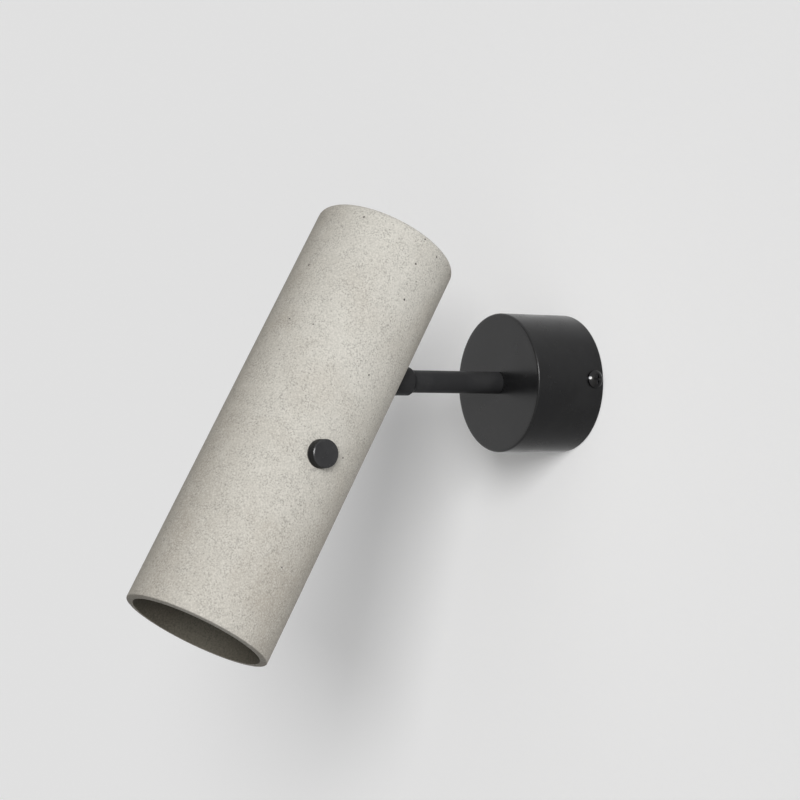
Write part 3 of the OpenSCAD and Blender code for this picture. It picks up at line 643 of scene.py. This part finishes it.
# Other finishes: two colours, the size of their patches, lowest and highest roughness, and the
# grain's size and height.
PLAIN_FINISHES = {
    "black_nickel": dict(colour=(0.035, 0.035, 0.037), drift=(0.055, 0.054, 0.053), patch=3 * MM,
                         roughness=(0.1, 0.2), grain=0.5 * MM, depth=0.003 * MM, Metallic=1.0),
    "zinc_plate": dict(colour=(0.6, 0.61, 0.62), drift=(0.52, 0.53, 0.56), patch=14 * MM,
                       roughness=(0.28, 0.46), grain=0.8 * MM, depth=0.008 * MM, Metallic=1.0),
    "zinc_screw": dict(colour=(0.66, 0.67, 0.68), drift=(0.55, 0.56, 0.6), patch=3 * MM,
                       roughness=(0.22, 0.4), grain=0.4 * MM, depth=0.006 * MM, Metallic=1.0),
    "brass": dict(colour=(0.74, 0.53, 0.24), drift=(0.62, 0.42, 0.17), patch=5 * MM,
                  roughness=(0.24, 0.42), grain=0.5 * MM, depth=0.006 * MM, Metallic=1.0),
    "white_nylon": dict(colour=(0.8, 0.79, 0.74), drift=(0.74, 0.73, 0.67), patch=6 * MM,
                        roughness=(0.42, 0.58), grain=0.5 * MM, depth=0.01 * MM),
    "white_ceramic": dict(colour=(0.82, 0.8, 0.75), drift=(0.75, 0.72, 0.66), patch=8 * MM,
                          roughness=(0.5, 0.7), grain=0.4 * MM, depth=0.015 * MM),
    "lamp_white": dict(colour=(0.8, 0.8, 0.79), drift=(0.76, 0.76, 0.75), patch=12 * MM,
                       roughness=(0.25, 0.38), grain=0.8 * MM, depth=0.006 * MM),
    "lead_sheath": dict(colour=(0.78, 0.78, 0.76), drift=(0.7, 0.7, 0.67), patch=9 * MM,
                        roughness=(0.35, 0.5), grain=0.7 * MM, depth=0.01 * MM),
    "black_rubber": dict(colour=(0.022, 0.022, 0.022), drift=(0.035, 0.034, 0.033), patch=4 * MM,
                         roughness=(0.6, 0.8), grain=0.4 * MM, depth=0.02 * MM),
    "black_fibre": dict(colour=(0.035, 0.034, 0.032), drift=(0.06, 0.056, 0.05), patch=2 * MM,
                        roughness=(0.75, 0.92), grain=0.25 * MM, depth=0.03 * MM),
}


def finish(context, kind):
    """The material of one kind of finish, made when it is first asked for.

    A kind is a slot of the record, or one of the other two coats: arm_coat and knob_grip.
    """
    name = "finish_" + kind
    if name in bpy.data.materials:
        return bpy.data.materials[name]
    colours = context.scene.spotlight_finishes
    if kind == "concrete":
        return concrete(name, colours)
    if kind in COATS:
        return powder_coat(name, colours, **COATS[kind])
    if kind == "lamp_glass":
        return lamp_glass(name)
    return finish_material(name, **PLAIN_FINISHES[kind])


class SPOTLIGHT_OT_shade(bpy.types.Operator):
    """Casts the concrete shade: outer and inner wall, rounded mouth and top, arm slot and knob seats"""

    bl_idname = "spotlight.shade"
    bl_label = "Concrete shade"
    # Painted shade: the angle and width of two darker bands along the tube, one towards the room and one towards
    # the wall.
    weather_side, weather_width = math.radians(-152), 1.0
    wall_side, wall_width = math.radians(33), 0.7

    def execute(self, context):
        sizes = context.scene.spotlight_sizes
        columns, row_step, cap_step = 224, 1.5 * MM, 3 * MM
        outer = SHADE_RADIUS
        inner = outer - sizes.shade_wall
        top = sizes.shade_length
        under_top = top - sizes.shade_top
        margin = 0.5 * MM
        rim = sizes.shade_wall * math.tan(sizes.mouth_slope)
        low, high = rim + sizes.mouth_rounding + margin, top - sizes.top_rounding - margin
        levels = np.linspace(low, high, round((high - low) / row_step) + 1)
        inner_rounding = 1.2 * MM
        inner_end = under_top - inner_rounding - margin

        pivot_level = top - sizes.pivot_from_top
        slot_radius = sizes.slot_width / 2
        slot = Hole(0, pivot_level + sizes.slot_low + slot_radius,
                    pivot_level + sizes.slot_high - slot_radius, slot_radius,
                    margin=2.2 * MM, edge=0.45 * MM)
        knob_level = top - sizes.knob_from_top
        seat_room, seat_depth, stem_room = 0.2 * MM, 0.6 * MM, 0.3 * MM
        seat = (KNOB_RADIUS + seat_room, outer - seat_depth)
        stem_radius = sizes.knob_stem / 2 + stem_room
        seats = [Hole(side * math.pi / 2, knob_level, knob_level, stem_radius,
                      margin=2 * MM, edge=0.25 * MM, seat=seat) for side in (1, -1)]
        surfaces = holed_wall(outer, inner, levels, inner_end, [slot, *seats], columns)

        mouth = rounded([(outer, low), (outer, rim, sizes.mouth_rounding), (inner, 0, 0.4 * MM),
                         (inner, low)])
        crown = rounded([(outer, high), (outer, top, sizes.top_rounding), (0, top)], steps=12)
        ceiling = rounded([(inner, inner_end), (inner, under_top, inner_rounding), (0, under_top)])
        for outline in (mouth, crown, ceiling):
            surfaces.append(ringed(turned(divided(outline, cap_step), columns)))
        surfaces = [(self.nicked(points, outer, rim, top), faces) for points, faces in surfaces]
        shade = made_piece("concrete_shade", surfaces, in_shade(sizes), finish(context, "concrete"),
                           "head", "concrete", "shade")
        self.mark(shade.data, in_shade(sizes), outer, inner, rim + sizes.mouth_rounding, under_top)
        return {"FINISHED"}

    def mark(self, mesh, matrix, outer, inner, rim_top, under_top):
        """Marks two shares of painted shade on the concrete, where 1 or more is wholly so.

        The inner share is 1 inside the tube, and on the rim a share that ends at its outer edge. The outer
        share rises smoothly towards the mouth, with two bands along the tube added, one towards the room and
        one towards the wall: bell curves of the angle that fade towards the axis as (r / R)^4, so that they
        end softly on the closed top. The band on the wall's side grows towards the mouth.
        """
        slack, rim_share, rim_edge = 0.1 * MM, 0.3, 0.4 * MM
        rise_start, rise_length, rise_share = 38 * MM, 150 * MM, 0.4
        points = np.empty(3 * len(mesh.vertices))
        mesh.vertices.foreach_get("co", points)
        points = placed(points.reshape(-1, 3), matrix.inverted())
        around, level = np.hypot(points[:, 0], points[:, 1]), points[:, 2]
        # Painted shade inside the tube and on the rim's face.
        rim = rim_share * np.clip((outer - around) / rim_edge, 0, 1) * (level < rim_top)
        bore = (around < inner + slack) * (level < under_top + slack)
        # Painted shade on the outside: darker towards the mouth, and in two bands along the tube.
        mouthward = np.clip((under_top - rise_start - level) / rise_length, 0, 1)
        mouthward = mouthward ** 2 * (3 - 2 * mouthward)
        angle = np.arctan2(points[:, 0], points[:, 1])
        wall_share = 0.5 * (1 + mouthward ** 2)
        bands = (bell(angle, self.weather_side, self.weather_width)
                 + wall_share * bell(angle, self.wall_side, self.wall_width))
        weathered = rise_share * mouthward + bands * (around / outer) ** 4
        for name, value in (("raw", np.maximum(rim, bore)), ("weathered", weathered)):
            mesh.attributes.new(name, "FLOAT", "POINT").data.foreach_set("value", value)

    def nicked(self, points, outer, rim, top):
        """Wears small nicks into the outer edges of the mouth's rim and of the top.

        Near an edge a point moves inwards by the sum of the nicks' bell curves of its angle, times
        exp(-(distance from the edge / reach)^2).
        """
        seed, reach, least_radius = 11, 1.2 * MM, 1 * MM
        narrowest, widest = 0.012, 0.04
        chance = np.random.default_rng(seed)
        moved = points.copy()
        around = np.hypot(points[:, 0], points[:, 1])
        angle = np.arctan2(points[:, 0], points[:, 1])
        for level, count, deepest in ((rim, 34, 0.3 * MM), (top, 16, 0.22 * MM)):
            depth = np.zeros(len(points))
            for place, width, size in zip(chance.uniform(-math.pi, math.pi, count),
                                          chance.uniform(narrowest, widest, count),
                                          deepest * chance.uniform(0.15, 1, count) ** 2):
                depth += size * bell(angle, place, width)
            distance = np.hypot(points[:, 2] - level, around - outer)
            depth *= np.exp(-(distance / reach) ** 2)
            moved[:, :2] *= (1 - depth / np.maximum(around, least_radius))[:, None]
        return moved


class SPOTLIGHT_OT_canopy(bpy.types.Operator):
    """Spins the wall canopy: a round cup with rounded edges, the arm's hole and two screw holes"""

    bl_idname = "spotlight.canopy"
    bl_label = "Wall canopy"

    def execute(self, context):
        sizes = context.scene.spotlight_sizes
        columns, row_step, rear_step, face_step = 224, 0.9 * MM, 3 * MM, 2 * MM
        outer = CANOPY_RADIUS
        depth = -CANOPY_LOW[1]
        inner = outer - sizes.canopy_wall
        inside = depth - sizes.canopy_face
        rear_rounding, corner_rounding, hole_rounding = 0.25 * MM, 0.8 * MM, 0.12 * MM
        margin = 0.3 * MM
        low, high = 0.5 * MM, depth - sizes.canopy_rounding - margin
        levels = np.linspace(low, high, round((high - low) / row_step) + 1)
        inner_end = inside - corner_rounding - margin
        screw_level, screw_radius, stud_room = 5 * MM, 2.05 * MM, 0.05 * MM
        screw_holes = [Hole(side * math.pi / 2, screw_level, screw_level, screw_radius,
                            margin=1.2 * MM, edge=0.1 * MM) for side in (1, -1)]
        surfaces = holed_wall(outer, inner, levels, inner_end, screw_holes, columns)
        arm_hole = sizes.stud_diameter / 2 + stud_room
        rear = rounded([(outer, low), (outer, 0, rear_rounding), (inner, 0, rear_rounding),
                        (inner, low)])
        face = rounded([(outer, high), (outer, depth, sizes.canopy_rounding),
                        (arm_hole, depth, hole_rounding), (arm_hole, inside, hole_rounding),
                        (inner, inside, corner_rounding), (inner, inner_end)])
        surfaces.append(ringed(turned(divided(rear, rear_step), columns)))
        surfaces.append(ringed(turned(divided(face, face_step), columns)))
        made_piece("wall_canopy_cup", surfaces, out_of_wall(), finish(context, "black_powder_coat"),
                   "wall_canopy", "black_powder_coat", "canopy")
        return {"FINISHED"}


class SPOTLIGHT_OT_arm(bpy.types.Operator):
    """Turns the arm on the lathe: a tube with a threaded stud at its wall end"""

    bl_idname = "spotlight.arm"
    bl_label = "Arm"

    def execute(self, context):
        sizes = context.scene.spotlight_sizes
        columns, pitch, thread_depth = 96, 1 * MM, 0.45 * MM
        bore = sizes.arm_bore / 2
        stud = sizes.stud_diameter / 2
        start, end = -ARM_HIGH[1], -ARM_LOW[1]
        face_gap, plain_end, edge = 0.1 * MM, 3 * MM, 0.3 * MM
        shoulder = -CANOPY_LOW[1] + face_gap
        outline = rounded([(bore, start, edge), (stud, start, edge), (stud, shoulder),
                           (ARM_RADIUS, shoulder, edge / 2), (ARM_RADIUS, end, edge),
                           (bore, end, edge)])
        thread_end = shoulder - plain_end
        on_stud = divided(np.array([[stud, start + 2 * edge], [stud, thread_end]]), pitch / 8)
        outline = np.insert(outline, np.argmax(outline[:, 1] >= shoulder - edge), on_stud, axis=0)
        points = threaded(turned(outline, columns), stud, start, thread_end, pitch, thread_depth)
        made_piece("arm_rod", [ringed(points, closed=True)], out_of_wall(),
                   finish(context, "arm_coat"), "arm", "black_powder_coat", "arm_tube",
                   sharp=50)
        return {"FINISHED"}


class SPOTLIGHT_OT_knobs(bpy.types.Operator):
    """Turns the two side knobs on the lathe: a bevelled head on a threaded stem"""

    bl_idname = "spotlight.knobs"
    bl_label = "Side knobs"

    def execute(self, context):
        sizes = context.scene.spotlight_sizes
        columns, pitch, thread_depth = 96, 0.8 * MM, 0.38 * MM
        stem = sizes.knob_stem / 2
        start, end = KNOB_LOW[0], KNOB_HIGH[0]
        under = end - sizes.knob_height
        bevel_width, bevel_height = 0.55 * MM, 0.38 * MM
        margin, plain_end = 1 * MM, 1.5 * MM
        outline = rounded([(0, start), (stem, start, 0.5 * MM), (stem, under),
                           (KNOB_RADIUS, under, 0.2 * MM),
                           (KNOB_RADIUS, end - bevel_height, 0.15 * MM),
                           (KNOB_RADIUS - bevel_width, end, 0.12 * MM), (0, end)])
        on_stem = divided(np.array([[stem, start + margin], [stem, under - margin]]), pitch / 8)
        outline = np.insert(outline, np.argmax(outline[:, 1] >= under - margin / 2), on_stem, axis=0)
        points = threaded(turned(outline, columns), stem, start, under - plain_end, pitch,
                          thread_depth)
        place = Matrix.Translation((0, KNOB_AXIS[1], KNOB_AXIS[2]))
        for side, name in ((1, "right"), (-1, "left")):
            matrix = place @ Matrix.Diagonal((side, 1, 1, 1)) @ across()
            knob = made_piece(name + "_side_knob", [ringed(points)], matrix,
                              finish(context, "knob_black"), name + "_knob", "knob_black",
                              name + "_knob", sharp=50)
            knob.data.materials.append(finish(context, "knob_grip"))
            self.mark_grip(knob.data)
        return {"FINISHED"}

    def mark_grip(self, mesh):
        """Gives the head's side the second coat, darker and rougher than the face's: its faces look straight out
        from the knob's axis.
        """
        upright, rim = 0.3, 0.2 * MM
        normals, centres = np.empty((2, 3 * len(mesh.polygons)))
        mesh.polygons.foreach_get("normal", normals)
        mesh.polygons.foreach_get("center", centres)
        centres = centres.reshape(-1, 3)
        around = np.hypot(centres[:, 1] - KNOB_AXIS[1], centres[:, 2] - KNOB_AXIS[2])
        grip = (np.abs(normals[::3]) < upright) & (around > KNOB_RADIUS - rim)
        mesh.polygons.foreach_set("material_index", grip.astype(np.int32))


class SPOTLIGHT_OT_lamp(bpy.types.Operator):
    """Makes the reflector lamp: a finned body, its rim and its ringed front glass"""

    bl_idname = "spotlight.lamp"
    bl_label = "Lamp"

    def execute(self, context):
        sizes = context.scene.spotlight_sizes
        rim, edge = LAMP_RADIUS, 0.5 * MM
        length, glass, rim_wall, rim_height, ledge = 51 * MM, 1.6 * MM, 1.2 * MM, 6 * MM, 1.5 * MM
        neck, fins_end, cone_end, neck_start = 13 * MM, 0.64 * length, 0.66 * length, 0.74 * length
        columns, row_step, glass_room = 288, 1.2 * MM, 0.05 * MM
        front = self.front_level(sizes, length)
        inside = rim - rim_wall
        outline = rounded([(0, glass), (inside, glass), (inside, 0, 0.2 * MM), (rim, 0, edge),
                           (rim, rim_height, edge), (rim - ledge, rim_height + ledge, edge),
                           (neck + 2 * MM, cone_end, 2 * MM), (neck, neck_start, 1 * MM),
                           (neck, length, 0.8 * MM), (0, length)])
        body = self.finned(turned(divided(outline, row_step), columns), rim_height + 2 * ledge,
                           fins_end, count=32, depth=1.3 * MM)
        place = in_shade(sizes) @ Matrix.Translation((0, 0, front))
        made_piece("lamp_housing", [ringed(body)], place, finish(context, "lamp_white"), "head",
                   "lamp_white", "lamp_body", sharp=40)
        disc = self.glass_disc(inside - glass_room, glass)
        made_piece("lamp_front_glass", [ringed(disc)], place, finish(context, "lamp_glass"), "head",
                   "lamp_glass", "lamp_lens", sharp=40)
        return {"FINISHED"}

    def front_level(self, sizes, length):
        """The lamp's front above the mouth: carrier, holder and lamp measured down from the pivot."""
        carrier_drop, carrier_sheet, holder_height, gap = 17, 1.2, 20, 0.3
        above = (carrier_drop + carrier_sheet + gap + holder_height + gap) * MM
        return sizes.shade_length - sizes.pivot_from_top - above - length

    def finned(self, points, low, high, count, depth):
        """Presses cooling fins into the cone: r becomes r - depth s w.

        s is a smooth square wave of the angle, and w fades in and out along the cone.
        """
        steepness, low_fade, high_fade, least_radius = 4, 2 * MM, 3 * MM, 1 * MM
        x, y, height = np.moveaxis(points, -1, 0)
        around = np.hypot(x, y)
        wave = 0.5 + 0.5 * np.tanh(steepness * np.cos(count * np.arctan2(x, y)))
        fade = np.clip((height - low) / low_fade, 0, 1) * np.clip((high - height) / high_fade, 0, 1)
        share = 1 - depth * wave * fade / np.maximum(around, least_radius)
        return np.stack([x * share, y * share, height], axis=-1)

    def glass_disc(self, radius, thickness):
        """A round glass with rings pressed into its front: height is e (1 - cos 2 pi r / p) / 2."""
        plain_rim, ring, relief, edge = 1.5 * MM, 1.9 * MM, 0.35 * MM, 0.3 * MM
        rows, columns = 96, 128
        back = thickness - 0.02 * MM
        across_front = np.linspace(0, radius - plain_rim, rows)
        height = relief * (1 - np.cos(2 * math.pi * across_front / ring)) / 2
        front = np.stack([across_front, height], axis=-1)
        rest = rounded([(radius - plain_rim, 0), (radius, 0, edge), (radius, back, edge), (0, back)])
        return turned(np.concatenate([front, rest[1:]]), columns)


class SPOTLIGHT_OT_leads(bpy.types.Operator):
    """Sweeps the white lead's two curved stretches, in the canopy and in the head"""

    bl_idname = "spotlight.leads"
    bl_label = "Leads"

    def execute(self, context):
        sizes = context.scene.spotlight_sizes
        sheath = finish(context, "lead_sheath")
        radius = sizes.lead_diameter / 2
        steps, straight = 25, 1 * MM
        start, end = CANOPY_LEAD_LOW[1], CANOPY_LEAD_HIGH[2]
        bend = CANOPY_LEAD_HIGH[1] - radius - start
        turn = np.radians(np.linspace(-90, 0, steps))
        curve = np.stack([start + bend * np.cos(turn), bend + bend * np.sin(turn)], axis=-1)
        path = np.concatenate([curve, [[start + bend, bend + straight], [start + bend, end]]])
        self.lead("canopy_lead_sheath", path, radius, Matrix(), sheath, "wall_canopy", "canopy_lead")

        slope, drop, seat, bend = math.radians(25), 20 * MM, 23.2 * MM, 7.5 * MM
        bend_height = -drop * math.tan(slope) - bend * math.tan((math.pi / 2 - slope) / 2)
        turn = np.linspace(math.pi / 2 + slope, math.pi, steps)
        curve = np.stack([bend - drop + bend * np.cos(turn), bend_height + bend * np.sin(turn)], axis=-1)
        path = np.concatenate([[[0, 0], [-straight, -straight * math.tan(slope)]], curve,
                               [[-drop, bend_height - straight], [-drop, -seat]]])
        self.lead("head_lead_sheath", path, radius, in_head(sizes), sheath, "head", "head_lead")
        return {"FINISHED"}

    def lead(self, name, path, radius, matrix, sheath, body, node):
        """One stretch of lead with rounded ends: at e (1 - cos b) from an end it is e (1 - sin b) thinner.

        e is the ends' rounding, and b goes from nearly 0 to a right angle.
        """
        travelled = np.append(0, np.cumsum(np.linalg.norm(np.diff(path, axis=0), axis=1)))
        close = np.radians(np.array([2, 20, 40, 65, 90]))
        rim, margin, row_step = 0.8 * MM, 1.2 * MM, 0.7 * MM
        into = rim * (1 - np.cos(close))
        middle = np.arange(margin, travelled[-1] - margin, row_step)
        stops = np.concatenate([into, middle, (travelled[-1] - into)[::-1]])
        points = np.stack([np.interp(stops, travelled, path[:, n]) for n in (0, 1)], axis=-1)
        end_radius = radius - rim * (1 - np.sin(close))
        radii = np.concatenate([end_radius, np.full(len(middle), radius), end_radius[::-1]])
        tube = swept(points, radii)
        start_cap = np.broadcast_to(tube[0].mean(axis=0), tube[:1].shape)
        end_cap = np.broadcast_to(tube[-1].mean(axis=0), tube[:1].shape)
        made_piece(name, [ringed(np.concatenate([start_cap, tube, end_cap]))], matrix, sheath, body,
                   "lead_sheath", node, sharp=50)


class SPOTLIGHT_OT_hardware(bpy.types.Operator):
    """Gives every CAD piece the finish of its material slot, and the fork the arm's matt coat"""

    bl_idname = "spotlight.hardware"
    bl_label = "Hardware finishes"

    def execute(self, context):
        for subpart in frame["record"]["subparts"]:
            node = frame["nodes"][subpart["node"]]
            name = "arm_coat" if subpart["node"] == "swivel_fork" else subpart["material_slot"]
            for slot in node.material_slots:
                slot.material = finish(context, name)
        return {"FINISHED"}


class SPOTLIGHT_OT_stage(bpy.types.Operator):
    """Sets up the pale wall, the soft light and the camera"""

    bl_idname = "spotlight.stage"
    bl_label = "Stage, light and camera"
    # Where each light comes from, and where the surroundings look brightest in a reflection.
    key_from = (1.32, -1.0, 0.38)
    rear_from = (-0.84, 0.52, 0.12)
    fill_from = (0.84, -0.42, 0.22)
    mirrored_from = (-0.35, -0.75, 0.56)

    def execute(self, context):
        stage = context.scene.spotlight_stage
        paint = self.wall_paint(stage)
        self.wall(paint)
        self.surroundings(context, stage)
        self.distant_light(context, "key_light", self.key_from, stage.key_strength)
        rear = self.distant_light(context, "rear_light", self.rear_from, stage.rear_strength)
        rear.visible_glossy = False
        self.camera(context, stage)
        context.scene.view_settings.view_transform = "Standard"
        return {"FINISHED"}

    def wall(self, paint):
        """A flat wall just behind the lamp, which is seen from its front only."""
        wide, behind = 12.0, 0.4 * MM
        mesh = bpy.data.meshes.new("stage_wall")
        mesh.from_pydata([(-wide, behind, -wide), (wide, behind, -wide), (wide, behind, wide),
                          (-wide, behind, wide)], [], [(0, 1, 2, 3)])
        mesh.materials.append(paint)
        sheet = bpy.data.objects.new("stage_wall", mesh)
        bpy.context.scene.collection.objects.link(sheet)

    def wall_paint(self, stage):
        """Matt wall paint, clear from behind, and clear to reflections and to the rear light."""
        nap_size, nap_height = 3 * MM, 0.05 * MM
        material, tree, shader, place = new_material("stage_paint")
        shader.inputs["Base Color"].default_value = (*stage.wall_colour, 1)
        shader.inputs["Roughness"].default_value = 0.9
        shader.inputs["Specular IOR Level"].default_value = 0.2
        tree.links.new(bumped(tree, noise(tree, place, nap_size), nap_height), shader.inputs["Normal"])
        clear = add_node(tree, "ShaderNodeBsdfTransparent")
        through = add_node(tree, "ShaderNodeNewGeometry").outputs["Backfacing"]
        path = add_node(tree, "ShaderNodeLightPath")
        for ray in ("Is Shadow Ray", "Is Glossy Ray"):
            through = calculated(tree, "MAXIMUM", through, path.outputs[ray])
        glow = add_node(tree, "ShaderNodeEmission", {"Strength": 1.0})
        pale = calculated(tree, "MULTIPLY", path.outputs["Is Camera Ray"], stage.wall_paleness)
        lit = add_node(tree, "ShaderNodeMixShader", {0: pale, 1: shader.outputs[0],
                                                     2: glow.outputs[0]})
        both = add_node(tree, "ShaderNodeMixShader", {0: through, 1: lit.outputs[0],
                                                      2: clear.outputs[0]})
        tree.links.new(both.outputs[0], tree.nodes["Material Output"].inputs["Surface"])
        return material

    def surroundings(self, context, stage):
        """Wide light from the camera's side, and a pale backdrop in view and in reflections."""
        world = bpy.data.worlds.new("surroundings")
        world.use_nodes = True
        context.scene.world = world
        tree = world.node_tree
        light = tree.nodes["Background"]
        direction = tree.nodes.new("ShaderNodeTexCoord").outputs["Generated"]

        def towards(place):
            """How far each direction looks towards a place: the dot product of the two."""
            return add_node(tree, "ShaderNodeVectorMath", {0: direction, 1: Vector(place)},
                            operation="DOT_PRODUCT").outputs["Value"]

        fill = stepped(tree, towards(self.fill_from), (0.15, 1), (0.02, stage.fill_strength))
        mirrored = stepped(tree, towards(self.mirrored_from), (-1, 1), (0.4, 1.02))
        path = add_node(tree, "ShaderNodeLightPath")
        glossy = calculated(tree, "MULTIPLY", path.outputs["Is Glossy Ray"], mirrored)
        seen = calculated(tree, "MAXIMUM", path.outputs["Is Camera Ray"],
                          path.outputs["Is Transmission Ray"])
        backdrop = calculated(tree, "MULTIPLY", seen, stage.backdrop_strength)
        seen = calculated(tree, "MAXIMUM", seen, path.outputs["Is Glossy Ray"])
        rest = calculated(tree, "MULTIPLY", calculated(tree, "SUBTRACT", 1.0, seen), fill)
        backdrop = calculated(tree, "ADD", backdrop, glossy)
        tree.links.new(calculated(tree, "ADD", backdrop, rest), light.inputs["Strength"])
        light.inputs["Color"].default_value = (1, 1, 1, 1)

    def distant_light(self, context, name, toward, strength):
        """A soft light from far away in one direction."""
        spread = math.radians(24)
        data = bpy.data.lights.new(name, "SUN")
        data.energy = strength
        data.angle = spread
        lamp = bpy.data.objects.new(name, data)
        lamp.rotation_euler = Vector(toward).to_track_quat("Z", "Y").to_euler()
        context.scene.collection.objects.link(lamp)
        return lamp

    def camera(self, context, stage):
        """The photograph's camera: its place, its direction and its roll."""
        azimuth, elevation, roll = math.radians(57.15), math.radians(-3.02), math.radians(-1.36)
        place = Vector((776.44, -590.12, -57.03)) * MM
        back = Vector((math.sin(azimuth) * math.cos(elevation),
                       -math.cos(azimuth) * math.cos(elevation), math.sin(elevation)))
        right = Vector((math.cos(azimuth), math.sin(azimuth), 0))
        turn = Matrix((right, back.cross(right), back)).transposed() @ Matrix.Rotation(roll, 3, "Z")
        data = bpy.data.cameras.new("camera")
        data.lens = stage.lens
        data.sensor_width = 36
        camera = bpy.data.objects.new("camera", data)
        camera.matrix_world = Matrix.Translation(place) @ turn.to_4x4()
        context.scene.collection.objects.link(camera)
        context.scene.camera = camera


PIECES = (SPOTLIGHT_OT_hardware, SPOTLIGHT_OT_canopy, SPOTLIGHT_OT_arm, SPOTLIGHT_OT_shade,
          SPOTLIGHT_OT_knobs, SPOTLIGHT_OT_lamp, SPOTLIGHT_OT_leads, SPOTLIGHT_OT_stage)


class SPOTLIGHT_PT_panel(bpy.types.Panel):
    """Lists the spotlight's pieces and their settings"""

    bl_idname = "SPOTLIGHT_PT_panel"
    bl_label = "Wall spotlight"
    bl_space_type = "VIEW_3D"
    bl_region_type = "UI"
    bl_category = "Spotlight"

    def draw(self, context):
        for operator in PIECES:
            self.layout.operator(operator.bl_idname)
        for settings in (context.scene.spotlight_sizes, context.scene.spotlight_finishes,
                         context.scene.spotlight_stage):
            box = self.layout.box()
            for name in settings.__annotations__:
                box.prop(settings, name)


GROUPS = {"spotlight_sizes": SpotlightSizes, "spotlight_finishes": SpotlightFinishes,
          "spotlight_stage": SpotlightStage}
CLASSES = (*GROUPS.values(), *PIECES, SPOTLIGHT_PT_panel)


def register():
    for each in CLASSES:
        bpy.utils.register_class(each)
    for name, group in GROUPS.items():
        setattr(bpy.types.Scene, name, bpy.props.PointerProperty(type=group))


def unregister():
    for name in GROUPS:
        delattr(bpy.types.Scene, name)
    for each in reversed(CLASSES):
        bpy.utils.unregister_class(each)


def main():
    """Builds every piece in order."""
    register()
    bpy.ops.spotlight.hardware()
    bpy.ops.spotlight.canopy()
    bpy.ops.spotlight.arm()
    bpy.ops.spotlight.shade()
    bpy.ops.spotlight.knobs()
    bpy.ops.spotlight.lamp()
    bpy.ops.spotlight.leads()
    bpy.ops.spotlight.stage()


if __name__ == "__main__":
    main()
